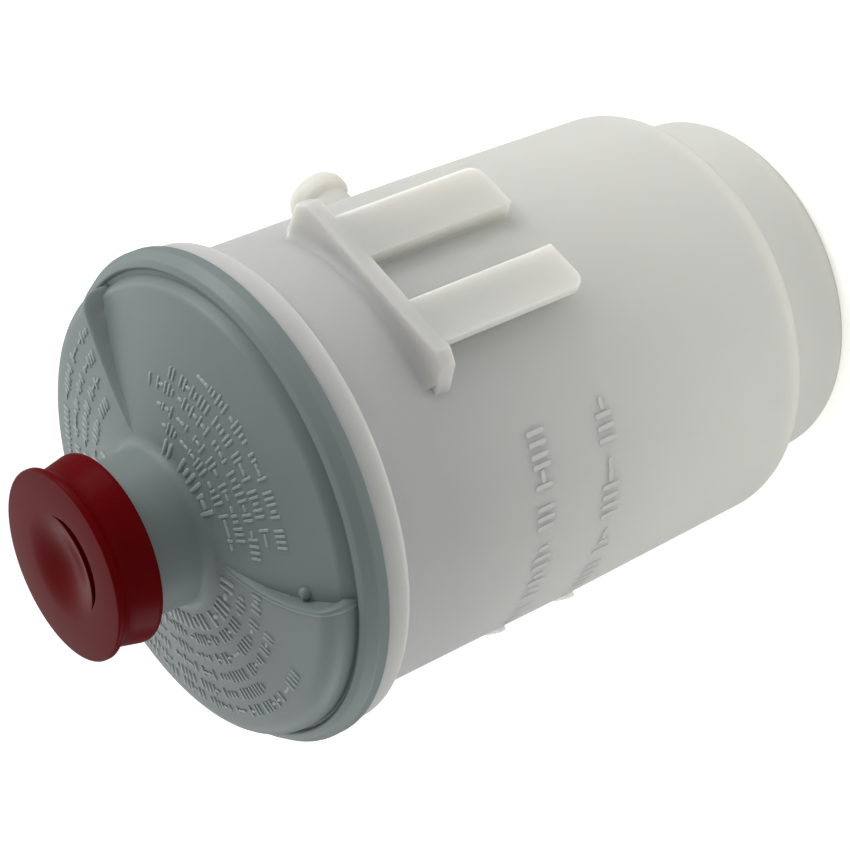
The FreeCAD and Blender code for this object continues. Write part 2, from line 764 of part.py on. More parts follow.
def build_cap():
    """The push-on cap: dished top with a lip, a waisted skirt and a plug that enters the neck."""
    body = new_body("cap")
    waist = "cap_top - cap_lip_thickness - cap_lip_run"
    outline = closed_outline(new_sketch("cap_outline", body), [
        ("0", "cap_top - dish_depth"),
        ("dish_radius", "cap_top"),
        ("cap_lip_radius - cap_bevel", "cap_top"),
        ("cap_lip_radius", "cap_top - cap_bevel"),
        ("cap_lip_radius", "cap_top - cap_lip_thickness"),
        ("cap_waist_radius", waist),
        ("cap_skirt_radius", "cap_skirt_bottom + cap_band"),
        ("cap_skirt_radius", "cap_skirt_bottom"),
        ("cap_skirt_inner", "cap_skirt_bottom"),
        ("cap_skirt_inner", "cap_underside"),
        ("cap_plug_radius", "cap_underside"),
        ("cap_plug_radius", "neck_top - cap_plug_depth"),
        ("cap_plug_radius - cap_plug_wall", "neck_top - cap_plug_depth"),
        ("cap_plug_radius - cap_plug_wall", "cap_underside"),
        ("0", "cap_underside"),
    ], {0: "(dish_radius * dish_radius + dish_depth * dish_depth) / (2 * dish_depth)",
        4: "-1.9 * cap_lip_run"})
    shell = turned(body, "cap_shell", outline)
    dish = rounded(body, "dish_bend", shell, ring_edges(shell.Shape, ("dish_radius", "cap_top")),
                   "dish_rounding")
    plan = new_sketch("slot_plan", body, "XY_Plane", lift="cap_top")
    ends = [polar("slot_radius", f"(slot_azimuth {sign} slot_half_angle)") for sign in ("-", "+")]
    three_point_outline(plan, ends, [
        polar("slot_radius", "slot_azimuth"),
        polar("(slot_radius - slot_width)", "slot_azimuth"),
    ])
    slot = body.newObject("PartDesign::Pocket", "finger_slot")
    slot.Profile = plan
    bind(slot, "Length", "slot_depth")
    doc.recompute()
    check_volume(dish, slot, False)
    return body


def build_seal():
    """The flat rubber ring between the neck's end and the cap."""
    outer = doc.addObject("Part::Cylinder", "seal_outer")
    bind(outer, "Radius", "cap_skirt_inner - seal_gap")
    inner = doc.addObject("Part::Cylinder", "seal_inner")
    bind(inner, "Radius", "cap_plug_radius + seal_gap")
    for ring in (outer, inner):
        bind(ring, "Height", "seal_thickness")
        bind(ring, "Placement.Base.z", "neck_top")
    seal = combine("Cut", "seal_ring", outer, inner)
    seal.Label = "cap_seal"
    return seal


def build_strainer_frame():
    """The moulded strainer frame: a rim on the tank's ledge, a skirt in the sump, and spokes to a hub."""
    body = new_body("strainer_frame")
    top = "ledge_height + strainer_thickness"
    outline = closed_outline(new_sketch("frame_outline", body), [
        ("strainer_opening", "ledge_height - strainer_skirt_depth"),
        ("strainer_skirt_radius", "ledge_height - strainer_skirt_depth"),
        ("strainer_skirt_radius", "ledge_height"),
        ("strainer_radius", "ledge_height"),
        ("strainer_radius", top),
        ("mesh_seat_radius", top),
        ("mesh_seat_radius", "mesh_height"),
        ("strainer_opening", "mesh_height"),
    ])
    rim = turned(body, "frame_rim", outline)
    plan = closed_outline(new_sketch("spoke_plan", body, "XY_Plane", lift="ledge_height"), [
        ("0", "-strainer_spoke_width / 2"),
        ("strainer_opening + mesh_seat_width / 2", "-strainer_spoke_width / 2"),
        ("strainer_opening + mesh_seat_width / 2", "strainer_spoke_width / 2"),
        ("0", "strainer_spoke_width / 2"),
    ])
    spoke = padded(body, "spoke", plan, "strainer_spoke_height")
    check_volume(rim, spoke, True)
    spokes = body.newObject("PartDesign::PolarPattern", "spokes")
    spokes.Originals = [spoke]
    spokes.Axis = (origin_feature(body, "Z_Axis"), [""])
    spokes.Angle = 360
    bind(spokes, "Occurrences", "strainer_spoke_count")
    body.Tip = spokes
    doc.recompute()
    check_volume(spoke, spokes, True)
    hub = closed_outline(new_sketch("hub_section", body), [
        ("0", "ledge_height"),
        ("strainer_hub_radius", "ledge_height"),
        ("strainer_hub_radius", "mesh_height"),
        ("0", "mesh_height"),
    ])
    turned(body, "hub", hub)
    return body


def build_strainer_mesh():
    """The fine screen that lies on the spokes inside the frame's rim."""
    mesh = doc.addObject("Part::Cylinder", "screen")
    bind(mesh, "Radius", "mesh_radius")
    bind(mesh, "Height", "mesh_thickness")
    bind(mesh, "Placement.Base.z", "mesh_height")
    mesh.Label = "strainer_mesh"
    return mesh


def write_parts(pieces):
    """Check every object and every piece, then write one file per piece."""
    doc.recompute()
    for item in doc.Objects:
        if "Invalid" in item.State or "Error" in item.State:
            raise RuntimeError(f"{item.Name}: {item.State} {item.getStatusString()}")
    os.makedirs("parts", exist_ok=True)
    for piece in pieces:
        shape = piece.Shape
        if shape.isNull() or not shape.isValid() or len(shape.Solids) != 1:
            raise RuntimeError(f"{piece.Label}: the shape is not one valid solid")
    for piece in pieces:
        piece.Shape.exportStep(os.path.join("parts", piece.Label + ".step"))
        box = piece.Shape.BoundBox
        print(f"{piece.Label:16s} volume {piece.Shape.Volume:10.1f}"
              f"  x {box.XMin:7.2f} {box.XMax:7.2f}  y {box.YMin:7.2f} {box.YMax:7.2f}"
              f"  z {box.ZMin:7.2f} {box.ZMax:7.2f}")


write_parts([
    build_tank(),
    build_lid(),
    build_cap(),
    build_seal(),
    build_strainer_frame(),
    build_strainer_mesh(),
])
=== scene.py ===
"""Looks of a power steering reservoir: a milky tank, a stepped grey lid and a red push-on cap.

The row frame has +Z up the tank's axis, +X along the return nipple and -Y at the bracket rails.
Sizes in the classes are in millimetres and angles in degrees; meshes are made in metres.
"""

import logging
import math
import random
from dataclasses import dataclass, field
from enum import Enum
from typing import Callable, Sequence

import bmesh
import bpy
from mathutils import Matrix, Vector
from mathutils.kdtree import KDTree


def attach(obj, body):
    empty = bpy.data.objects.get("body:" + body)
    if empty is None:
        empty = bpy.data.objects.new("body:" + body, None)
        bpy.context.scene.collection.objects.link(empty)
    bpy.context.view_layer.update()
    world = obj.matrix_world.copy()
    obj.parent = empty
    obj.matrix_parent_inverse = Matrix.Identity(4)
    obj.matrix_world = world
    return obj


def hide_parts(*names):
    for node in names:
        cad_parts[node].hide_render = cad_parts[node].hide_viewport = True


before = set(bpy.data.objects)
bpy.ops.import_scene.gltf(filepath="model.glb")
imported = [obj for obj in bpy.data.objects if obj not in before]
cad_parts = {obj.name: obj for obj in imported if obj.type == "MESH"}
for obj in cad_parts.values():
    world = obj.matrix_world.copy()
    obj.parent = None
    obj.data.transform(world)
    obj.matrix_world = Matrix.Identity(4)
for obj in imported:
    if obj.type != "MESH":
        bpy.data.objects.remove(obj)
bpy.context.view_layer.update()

MM = 0.001
LOG = logging.getLogger("reservoir")
# The number of edges in each drawn curve of the cap.
CURVE_STEPS = 24
# The colour Mix node's sockets by number: factor, first and second colour, and result.
MIX_FACTOR = 0
MIX_FIRST = 6
MIX_SECOND = 7
MIX_RESULT = 2

Point = tuple[float, float]
Corner = tuple[float, ...]
Span = tuple[float, int]


def deselect() -> None:
    """Leave edit mode and select nothing."""
    if bpy.context.object and bpy.context.object.mode != "OBJECT":
        bpy.ops.object.mode_set(mode="OBJECT")
    bpy.ops.object.select_all(action="DESELECT")


def activate(piece: bpy.types.Object) -> None:
    """Select one object alone and make it active."""
    deselect()
    piece.select_set(True)
    bpy.context.view_layer.objects.active = piece


def rounded(corners: Sequence[Corner], steps: int = 6, closed: bool = False) -> list[Point]:
    """Turn corners into points, with an arc wherever a corner has a third value, its radius.

    Args:
        corners: (across, up) or (across, up, radius) in millimetres.
        steps: how many edges each arc gets.
        closed: whether the last corner joins the first one.

    Returns:
        The points in the order walked.
    """
    points: list[Point] = []
    count = len(corners)
    for index, corner in enumerate(corners):
        here = Vector(corner[:2])
        if len(corner) < 3 or (not closed and index in (0, count - 1)):
            points.append((here.x, here.y))
            continue
        back = (Vector(corners[index - 1][:2]) - here).normalized()
        ahead = (Vector(corners[(index + 1) % count][:2]) - here).normalized()
        half = back.angle(ahead) / 2
        centre = here + (back + ahead).normalized() * (corner[2] / math.sin(half))
        start = here + back * (corner[2] / math.tan(half)) - centre
        end = here + ahead * (corner[2] / math.tan(half)) - centre
        sweep = start.angle_signed(end)
        for step in range(steps + 1):
            spot = centre + Matrix.Rotation(-sweep * step / steps, 2) @ start
            points.append((spot.x, spot.y))
    return points


@dataclass(frozen=True)
class Axis:
    """A turning axis: where it starts, which way it runs and which way the section lies."""

    origin: Vector = field(default_factory=lambda: Vector((0, 0, 0)))
    along: Vector = field(default_factory=lambda: Vector((0, 0, 1)))
    out: Vector = field(default_factory=lambda: Vector((1, 0, 0)))

    def place(self, point: Point) -> Vector:
        """Return the place in metres of a (distance out, distance along) point."""
        return (self.origin + self.out * point[0] + self.along * point[1]) * MM


def draw_line(name: str, places: Sequence[Vector], closed: bool) -> bpy.types.Object:
    """Extrude one vertex through a list of places, and stay in edit mode with all selected.

    Args:
        name: the new object's name.
        places: the places in metres.
        closed: whether an edge joins the last place to the first one.

    Returns:
        The new object, active and in edit mode.
    """
    deselect()
    bpy.ops.mesh.primitive_plane_add(size=MM, location=(0, 0, 0))
    piece = bpy.context.object
    piece.name = name
    piece.data.name = name
    bpy.ops.object.mode_set(mode="EDIT")
    bpy.ops.mesh.select_all(action="SELECT")
    bpy.ops.mesh.merge(type="CENTER")
    bpy.ops.transform.translate(value=places[0])
    for before, after in zip(places, places[1:]):
        bpy.ops.mesh.extrude_region_move(TRANSFORM_OT_translate={"value": after - before})
    if closed:
        mesh = bmesh.from_edit_mesh(piece.data)
        mesh.verts.ensure_lookup_table()
        mesh.verts[0].select_set(True)
        bmesh.update_edit_mesh(piece.data)
        bpy.ops.mesh.edge_face_add()
    bpy.ops.mesh.select_all(action="SELECT")
    return piece


def tidy_mesh(piece: bpy.types.Object) -> None:
    """Merge doubled vertices, point all faces outwards and leave edit mode."""
    bpy.ops.mesh.select_all(action="SELECT")
    bpy.ops.mesh.remove_doubles(threshold=0.0005 * MM)
    bpy.ops.mesh.normals_make_consistent(inside=False)
    bpy.ops.object.mode_set(mode="OBJECT")


def turned(name: str, points: Sequence[Point], spans: Sequence[Span] = ((360, 192),),
           axis: Axis = Axis(), closed: bool = False) -> bpy.types.Object:
    """Spin a section about an axis into a full turn.

    Args:
        name: the new object's name.
        points: the section as (distance out, distance along) points in millimetres.
        spans: angles in degrees with their number of steps, adding up to a full turn.
        axis: the turning axis.
        closed: whether the section is a closed ring, clear of the axis.

    Returns:
        The turned object.
    """
    piece = draw_line(name, [axis.place(point) for point in points], closed)
    for angle, steps in spans:
        bpy.ops.mesh.spin(steps=steps, angle=math.radians(angle), center=axis.origin * MM,
                          axis=-axis.along)
    tidy_mesh(piece)
    return piece


def swept(name: str, points: Sequence[Point], start: float, sweep: float,
          steps: int) -> bpy.types.Object:
    """Spin a closed section through part of a turn about the Z axis, with a face at each end.

    Args:
        name: the new object's name.
        points: the section as (radius, height) points in millimetres.
        start: the azimuth where it starts.
        sweep: the angle it covers.
        steps: the number of steps.

    Returns:
        The swept object.
    """
    facing = Vector((math.cos(math.radians(start)), math.sin(math.radians(start)), 0))
    axis = Axis(out=facing)
    piece = draw_line(name, [axis.place(point) for point in points], True)
    bpy.ops.mesh.edge_face_add()
    bpy.ops.mesh.spin(steps=steps, angle=math.radians(sweep), center=(0, 0, 0), axis=(0, 0, -1))
    tidy_mesh(piece)
    return piece


def prism(name: str, points: Sequence[Point], low: float, high: float, bevel: float,
          corners: Callable[[Vector], bool] | None = None,
          corner_size: float = 0.0) -> bpy.types.Object:
    """Extrude a flat outline upwards and soften its edges.

    Args:
        name: the new object's name.
        points: the outline as (x, y) points in millimetres.
        low: the height of its lower face.
        high: the height of its upper face.
        bevel: the width of the softened edges.
        corners: says for the middle of an edge, in millimetres, whether it is rounded off first.
        corner_size: the radius of those roundings.

    Returns:
        The prism.
    """
    places = [Vector((x, y, low)) * MM for x, y in points]
    piece = draw_line(name, places, True)
    bpy.ops.mesh.edge_face_add()
    bpy.ops.mesh.extrude_region_move(TRANSFORM_OT_translate={"value": (0, 0, (high - low) * MM)})
    bpy.ops.mesh.select_all(action="SELECT")
    bpy.ops.mesh.normals_make_consistent(inside=False)
    bpy.ops.mesh.select_all(action="DESELECT")
    bpy.ops.mesh.select_mode(type="EDGE")
    if corners:
        mesh = bmesh.from_edit_mesh(piece.data)
        for edge in mesh.edges:
            edge.select_set(corners((edge.verts[0].co + edge.verts[1].co) / (2 * MM)))
        bmesh.update_edit_mesh(piece.data)
        bpy.ops.mesh.bevel(offset=corner_size * MM, segments=8, affect="EDGES")
        bpy.ops.mesh.select_all(action="DESELECT")
    bpy.ops.mesh.edges_select_sharp(sharpness=math.radians(35))
    bpy.ops.mesh.bevel(offset=bevel * MM, segments=4, affect="EDGES", clamp_overlap=True)
    bpy.ops.mesh.select_mode(type="VERT")
    tidy_mesh(piece)
    return piece


class Boolean(Enum):
    """What a boolean does with its tool."""

    ADD = "UNION"
    CUT = "DIFFERENCE"


def combine(base: bpy.types.Object, tool: bpy.types.Object, operation: Boolean) -> None:
    """Apply a boolean of one object to another and remove the tool.

    Args:
        base: the object that is changed.
        tool: the object that is added or cut away.
        operation: which of the two is done.
    """
    activate(base)
    modifier = base.modifiers.new("combine", "BOOLEAN")
    modifier.operation = operation.value
    modifier.solver = "EXACT"
    modifier.object = tool
    bpy.ops.object.modifier_apply(modifier=modifier.name)
    bpy.data.objects.remove(tool)


def shade(piece: bpy.types.Object, angle: float = 35) -> None:
    """Shade smooth, with creases where faces meet at more than an angle in degrees."""
    activate(piece)
    bpy.ops.object.shade_smooth_by_angle(angle=math.radians(angle))


def join(name: str, pieces: Sequence[bpy.types.Object]) -> bpy.types.Object:
    """Join objects into one and name it.

    Args:
        name: the name of the whole.
        pieces: the objects, of which the first takes up the others.

    Returns:
        The joined object.
    """
    deselect()
    for piece in pieces:
        piece.select_set(True)
    bpy.context.view_layer.objects.active = pieces[0]
    bpy.ops.object.join()
    bpy.ops.object.transform_apply(location=True, rotation=True, scale=True)
    whole = bpy.context.object
    whole.name = name
    whole.data.name = name
    return whole


def linear(hex_colour: str) -> tuple[float, float, float, float]:
    """Turn an sRGB hex colour into a linear one.

    Args:
        hex_colour: the colour as a hash and six digits.

    Returns:
        Its linear red, green and blue, and full opacity.
    """
    channels = [int(hex_colour[place:place + 2], 16) / 255 for place in (1, 3, 5)]
    flat = [c / 12.92 if c <= 0.04045 else ((c + 0.055) / 1.055) ** 2.4 for c in channels]
    return flat[0], flat[1], flat[2], 1.0


def new_material(name: str) -> tuple[bpy.types.Material, bpy.types.NodeTree]:
    """Return a new material and its node tree, which is empty."""
    material = bpy.data.materials.new(name)
    material.use_nodes = True
    material.node_tree.nodes.clear()
    return material, material.node_tree


def add_node(tree: bpy.types.NodeTree, kind: str, settings: dict | None = None,
             numbered: dict | None = None, **inputs: object) -> bpy.types.Node:
    """Add a node, set its properties, and fill or link its inputs.

    Args:
        tree: the node tree.
        kind: the node's type name.
        settings: properties of the node itself.
        numbered: values or source sockets by the socket's number, where names repeat.
        inputs: socket names, with spaces as underscores, and their values or source sockets.

    Returns:
        The new node.
    """
    node = tree.nodes.new(kind)
    for name, value in (settings or {}).items():
        setattr(node, name, value)
    named = {name.replace("_", " "): value for name, value in inputs.items()}
    for key, value in {**(numbered or {}), **named}.items():
        if isinstance(value, bpy.types.NodeSocket):
            tree.links.new(value, node.inputs[key])
        else:
            node.inputs[key].default_value = value
    return node


@dataclass(frozen=True)
class MouldedPlastic:
    """A moulded thermoplastic: one colour with a faint mottle, a soft sheen and a fine skin.

    The mottle is the flow of the melt, a few centimetres across; the skin is the mould's own fine
    grain, drawn at half a millimetre so that it shows.
    """

    name: str
    colour: str
    mottle: str
    roughness: float
    ior: float = 1.49
    mottle_size: float = 28.0
    skin_size: float = 0.5
    skin_depth: float = 0.01
    wave_depth: float = 0.05
    subsurface: float = 0.0
    depth: float = 0.0
    depth_colour: tuple[float, float, float] = (1.0, 0.95, 0.85)
    specular: float = 0.5
    # The foot colour is partly the plastic's own warmer tint and partly painted light.
    foot_tint_and_painted_light: str = ""
    foot_height: float = 0.0
    gloss_up: float = 0.04
    gloss_down: float = 0.05

    def material(self) -> bpy.types.Material:
        """Build the material's nodes.

        Returns:
            The material.
        """
        material, tree = new_material(self.name)
        place = add_node(tree, "ShaderNodeTexCoord").outputs["Object"]
        flow = add_node(tree, "ShaderNodeTexNoise", Vector=place, Scale=1 / (self.mottle_size * MM),
                        Detail=3.0, Roughness=0.55).outputs["Fac"]
        mixed = add_node(tree, "ShaderNodeMix", {"data_type": "RGBA"},
                         {MIX_FACTOR: flow, MIX_FIRST: linear(self.colour),
                          MIX_SECOND: linear(self.mottle)})
        colour = mixed.outputs[MIX_RESULT]
        # Partly real tint, partly painted light: the colour runs from the paler, warmer foot colour at
        # the base to the darker main colour higher up, standing in for the light that falls on the base.
        if self.foot_tint_and_painted_light:
            parts = add_node(tree, "ShaderNodeSeparateXYZ", Vector=place)
            rise = add_node(tree, "ShaderNodeMapRange", Value=parts.outputs["Z"], From_Min=0.0,
                            From_Max=self.foot_height * MM)
            tint_and_painted_light = add_node(tree, "ShaderNodeMix", {"data_type": "RGBA"},
                              {MIX_FACTOR: rise.outputs["Result"], MIX_FIRST: linear(self.foot_tint_and_painted_light),
                               MIX_SECOND: colour})
            colour = tint_and_painted_light.outputs[MIX_RESULT]
        gloss = add_node(tree, "ShaderNodeMapRange", Value=flow, To_Min=self.roughness - self.gloss_up,
                         To_Max=self.roughness + self.gloss_down)
        skin = add_node(tree, "ShaderNodeTexNoise", Vector=place, Scale=1 / (self.skin_size * MM),
                        Detail=2.0)
        wave = add_node(tree, "ShaderNodeBump", Strength=1.0, Distance=self.wave_depth * MM, Height=flow)
        grain = add_node(tree, "ShaderNodeBump", Strength=1.0, Distance=self.skin_depth * MM,
                         Height=skin.outputs["Fac"], Normal=wave.outputs["Normal"])
        surface = add_node(tree, "ShaderNodeBsdfPrincipled", Base_Color=colour,
                           Roughness=gloss.outputs["Result"], Normal=grain.outputs["Normal"],
                           IOR=self.ior, Specular_IOR_Level=self.specular,
                           Subsurface_Weight=self.subsurface, Subsurface_Radius=self.depth_colour,
                           Subsurface_Scale=self.depth * MM)
        add_node(tree, "ShaderNodeOutputMaterial", Surface=surface.outputs["BSDF"])
        return material


def dress(piece: bpy.types.Object, material: bpy.types.Material) -> None:
    """Give an object one material all over."""
    piece.data.materials.clear()
    piece.data.materials.append(material)


@dataclass(frozen=True)
class Nipple:
    """A straight hose nipple with a rounded bead, on a level axis through the tank's middle."""

    name: str
    along: tuple[float, float, float]
    height: float
    root: float
    tip: float
    tube_radius: float
    bead_radius: float
    tip_radius: float
    bore_radius: float
    bore_start: float
    bead_start: float = 5.5
    bead_full: float = 4.4
    bead_end: float = 2.2
    mouth_flare: float = 0.7
    mouth_depth: float = 0.6

    def axis(self) -> Axis:
        """Return the nipple's axis."""
        return Axis(Vector((0, 0, self.height)), Vector(self.along), Vector((0, 0, 1)))

    def body(self) -> bpy.types.Object:
        """Build the nipple without its bore.

        Returns:
            The filled nipple, which reaches into the tank's wall.
        """
        points = rounded([
            (0, self.root),
            (self.tube_radius, self.root),
            (self.tube_radius, self.tip - self.bead_start, 0.6),
            (self.bead_radius, self.tip - self.bead_full, 0.5),
            (self.bead_radius, self.tip - self.bead_end, 2.2),
            (self.tip_radius, self.tip, 0.8),
            (0, self.tip),
        ])
        return turned(f"{self.name}_nipple", points, ((360, 64),), self.axis())

    def bore(self) -> bpy.types.Object:
        """Build the space inside the nipple.

        Returns:
            A rod with a flared end, to be cut away.
        """
        past = self.tip + 0.1
        points = [
            (0, self.bore_start),
            (self.bore_radius, self.bore_start),
            (self.bore_radius, self.tip - self.mouth_depth),
            (self.bore_radius + self.mouth_flare, past),
            (0, past),
        ]
        return turned(f"{self.name}_bore", points, ((360, 48),), self.axis())


@dataclass
class Tank:
    """The milky tank: shell, flange, bracket rails, stop plate, nipples and level marks."""

    wall: float = 2.2
    base_radius: float = 36.8
    base_top_radius: float = 37.2
    base_height: float = 18.0
    shoulder_height: float = 19.5
    low_radius: float = 43.7
    mid_radius: float = 44.6
    mid_height: float = 70.6
    top_radius: float = 44.7
    body_height: float = 123.4
    flange_radius: float = 48.0
    top: float = 128.9
    floor: float = 2.4
    rail_face: float = 47.8
    rail_inner: float = 6.0
    rail_web: float = 2.5
    rail_lip: float = 2.0
    rail_reach: float = 17.0
    rail_bottom: float = 69.5
    rail_end_rounding: float = 3.0
    haunch: float = 1.6
    haunch_rise: float = 1.4
    plate_bottom: float = 103.0
    plate_top: float = 106.6
    plate_face: float = 47.9
    plate_root: float = 2.2
    plate_root_depth: float = 1.8
    plate_corner: float = 18.5
    plate_side: float = 21.0
    plate_foot: float = 21.8
    plate_corner_drop: float = 2.3
    plate_far_reach: float = 3.3
    rail_into_plate: float = 1.5
    mark_heights: tuple[float, float] = (85.8, 67.8)
    mark_proud: float = 1.1
    mark_half: float = 0.75
    mark_start: float = 129
    mark_sweep: float = 22
    return_nipple: Nipple = Nipple("return", (1, 0, 0), height=66.2, root=42.4, tip=61.1,
                                   tube_radius=5.5, bead_radius=6.6, tip_radius=5.2,
                                   bore_radius=3.8, bore_start=38.0)
    suction_nipple: Nipple = Nipple("suction", (0, 1, 0), height=9.8, root=34.6, tip=60.8,
                                    tube_radius=7.2, bead_radius=8.1, tip_radius=6.6,
                                    bore_radius=5.4, bore_start=30.0)

    def outside(self) -> list[Point]:
        """Return the half section of the filled-in tank, up the outside."""
        return rounded([
            (0, 0),
            (self.base_radius, 0, 3.0),
            (self.base_top_radius, self.base_height, 1.0),
            (self.low_radius, self.shoulder_height, 4.5),
            (self.mid_radius, self.mid_height),
            (self.top_radius, self.body_height, 0.9),
            (self.flange_radius, self.body_height, 0.9),
            (self.flange_radius, self.top, 0.35),
            (0, self.top),
        ])

    def hollow(self) -> list[Point]:
        """Return the half section of the space inside the tank."""
        ledge = self.shoulder_height + self.wall
        return rounded([
            (0, self.floor),
            (self.base_radius - self.wall, self.floor, 2.0),
            (self.base_top_radius - self.wall, ledge, 0.5),
            (self.low_radius - self.wall, ledge, 2.0),
            (self.mid_radius - self.wall, self.mid_height),
            (self.top_radius - self.wall, self.top + 1),
            (0, self.top + 1),
        ])

    def rail(self, side: int) -> bpy.types.Object:
        """Build one L-shaped rail.

        Args:
            side: 1 for the rail at +X, -1 for the one at -X.

        Returns:
            The rail, which reaches into the tank's wall.
        """
        root = -(self.low_radius - self.wall * 0.4)
        under = -(self.rail_face - self.rail_lip)
        foot = -math.sqrt(self.low_radius ** 2 - self.rail_inner ** 2)
        web = self.rail_inner + self.rail_web
        outline = rounded([
            (self.rail_inner - self.haunch, root),
            (self.rail_inner - self.haunch, foot),
            (self.rail_inner, foot - self.haunch_rise),
            (self.rail_inner, -self.rail_face),
            (self.rail_reach, -self.rail_face),
            (self.rail_reach, under),
            (web, under, 0.6),
            (web, root),
        ], closed=True)
        points = [(x * side, y) for x, y in outline]

        def at_free_corner(middle: Vector) -> bool:
            """Tell whether an edge is the lip's free corner."""
            return abs(middle.x) > self.rail_reach - 0.1 and middle.z < self.rail_bottom + 0.1

        return prism(f"rail_{side}", points, self.rail_bottom, self.plate_bottom + self.rail_into_plate,
                     0.4, at_free_corner, self.rail_end_rounding)

    def plate(self) -> bpy.types.Object:
        """Build the plate that stops the bracket.

        Returns:
            The plate, which reaches into the tank's wall.
        """
        half = [
            (self.plate_corner, -self.plate_face, 1.2),
            (self.plate_side, self.plate_corner_drop - self.plate_face, 1.0),
            (self.plate_foot, 3 * self.wall - self.low_radius),
        ]
        far = [(x + self.plate_far_reach, *rest) for x, *rest in half[::-1]]
        outline = rounded(far + [(-x, *rest) for x, *rest in half], closed=True)
        return prism("plate", outline, self.plate_bottom, self.plate_top, 0.7)

    def plate_fillet(self) -> bpy.types.Object:
        """Build the concave bend between the plate and the tank on the lid's side.

        Returns:
            The bend, which reaches into the plate and the tank's wall.
        """
        inside = self.low_radius - self.wall / 2
        reach = self.mid_radius + self.plate_root
        under = self.plate_top - self.plate_root_depth
        bend = [(self.mid_radius + self.plate_root * (1 - math.sin(turn)),
                 self.plate_top + self.plate_root * (1 - math.cos(turn)))
                for turn in (math.radians(90 * step / 6) for step in range(7))]
        points = [(inside, under), (reach, under), *bend, (inside, self.plate_top + self.plate_root)]
        sides = (self.plate_side, self.plate_side + self.plate_far_reach)
        near, far = (math.degrees(math.asin(side / reach)) for side in sides)
        return swept("plate_fillet", points, 270 - near, near + far, 44)

    def level_mark(self, height: float) -> bpy.types.Object:
        """Build the raised bar at one fluid level.

        Args:
            height: the fluid level.

        Returns:
            The bar, which reaches into the tank's wall.
        """
        root = self.low_radius - 1
        face = self.mid_radius + self.mark_proud
        section = rounded([
            (root, height - self.mark_half),
            (face, height - self.mark_half, 0.35),
            (face, height + self.mark_half, 0.35),
            (root, height + self.mark_half),
        ], closed=True)
        return swept("level_mark", section, self.mark_start, self.mark_sweep, 24)

    def build(self) -> bpy.types.Object:
        """Build the whole tank as one closed mesh.

        Returns:
            The tank, attached to its body, with the CAD tank hidden.
        """
        tank = turned("tank_shell", self.outside())
        added = [
            self.rail(1),
            self.rail(-1),
            self.plate(),
            self.plate_fillet(),
            self.return_nipple.body(),
            self.suction_nipple.body(),
            *(self.level_mark(height) for height in self.mark_heights),
        ]
        for piece in added:
            combine(tank, piece, Boolean.ADD)
        cut = [
            turned("hollow", self.hollow(), ((360, 160),)),
            self.return_nipple.bore(),
            self.suction_nipple.bore(),
        ]
        for piece in cut:
            combine(tank, piece, Boolean.CUT)
        shade(tank)
        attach(tank, "reservoir")
        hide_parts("tank")
        return tank


def circle_through(first: Vector, second: Vector, third: Vector) -> tuple[Vector, float]:
    """Find the circle through three points of a plane.

    Args:
        first: one point.
        second: another point.
        third: the last point, out of line with the others.

    Returns:
        The centre and the radius.
    """
    a, b, c = first, second, third
    turn = 2 * (a.x * (b.y - c.y) + b.x * (c.y - a.y) + c.x * (a.y - b.y))
    squares = [point.length_squared for point in (a, b, c)]
    x = (squares[0] * (b.y - c.y) + squares[1] * (c.y - a.y) + squares[2] * (a.y - b.y)) / turn
    y = (squares[0] * (c.x - b.x) + squares[1] * (a.x - c.x) + squares[2] * (b.x - a.x)) / turn
    centre = Vector((x, y))
    return centre, (a - centre).length


def at_azimuth(radius: float, azimuth: float) -> Vector:
    """Return the flat point at a radius and an azimuth in degrees."""
    return Vector((math.cos(math.radians(azimuth)), math.sin(math.radians(azimuth)))) * radius


def azimuth_of(spot: Vector) -> float:
    """Return the azimuth of a flat point in degrees, from 0 to 360."""
    return math.degrees(math.atan2(spot.y, spot.x)) % 360


def arch(part: float) -> float:
    """Return the height of a flat arch, 0 at parts 0 and 1 and 1 halfway."""
    return 4 * part * (1 - part)


def arc_through(first: Vector, middle: Vector, last: Vector, facing: float) -> list[Vector]:
    """Draw the arc from one point through a second to a third.

    Args:
        first: where it starts.
        middle: a point that it passes.
        last: where it ends.
        facing: the azimuth in which its middle lies, seen from its centre.

    Returns:
        The points along it.
    """
    centre, size = circle_through(first, middle, last)
    unturn = Matrix.Rotation(math.radians(facing), 2).inverted()
    start, end = (math.atan2(*(unturn @ (point - centre)).yx) for point in (first, last))
    turns = (math.degrees(start + (end - start) * step / CURVE_STEPS) for step in range(CURVE_STEPS + 1))
    return [centre + at_azimuth(size, facing + turn) for turn in turns]


@dataclass(frozen=True)
class StepWall:
    """One curved wall between the raised deck and the sunk sector of the lid."""

    azimuths: tuple[float, float, float]
    radii: tuple[float, float, float] = (16.0, 31.5, 47.3)
    overrun: float = 1.5

    def azimuth(self, radius: float) -> float:
        """Find the wall's azimuth where it crosses a radius.

        Args:
            radius: the radius, held to the wall's own reach.

        Returns:
            The azimuth in degrees.
        """
        ends = [at_azimuth(size, turn) for size, turn in zip(self.radii, self.azimuths)]
        centre, size = circle_through(*ends)
        reach = min(max(radius, self.radii[0]), self.radii[2] + self.overrun)
        away = centre.length
        cosine = (reach ** 2 + away ** 2 - size ** 2) / (2 * reach * away)
        turn = math.degrees(math.acos(min(max(cosine, -1.0), 1.0)))
        both = [(azimuth_of(centre) + side * turn) % 360 for side in (-1, 1)]
        return min(both, key=lambda azimuth: abs(azimuth - self.azimuths[1]))

    def distance(self, radius: float, azimuth: float) -> float:
        """Return how far a point lies from the wall, positive towards larger azimuths."""
        slant = radius * math.radians(self.azimuth(radius + 0.5) - self.azimuth(radius - 0.5))
        return radius * math.radians(azimuth - self.azimuth(radius)) / math.hypot(1, slant)

    def share(self, radius: float) -> float:
        """Return how far along the wall a radius lies, from 0 near the neck to 1 at the rim."""
        return (radius - self.radii[0]) / (self.radii[2] - self.radii[0])


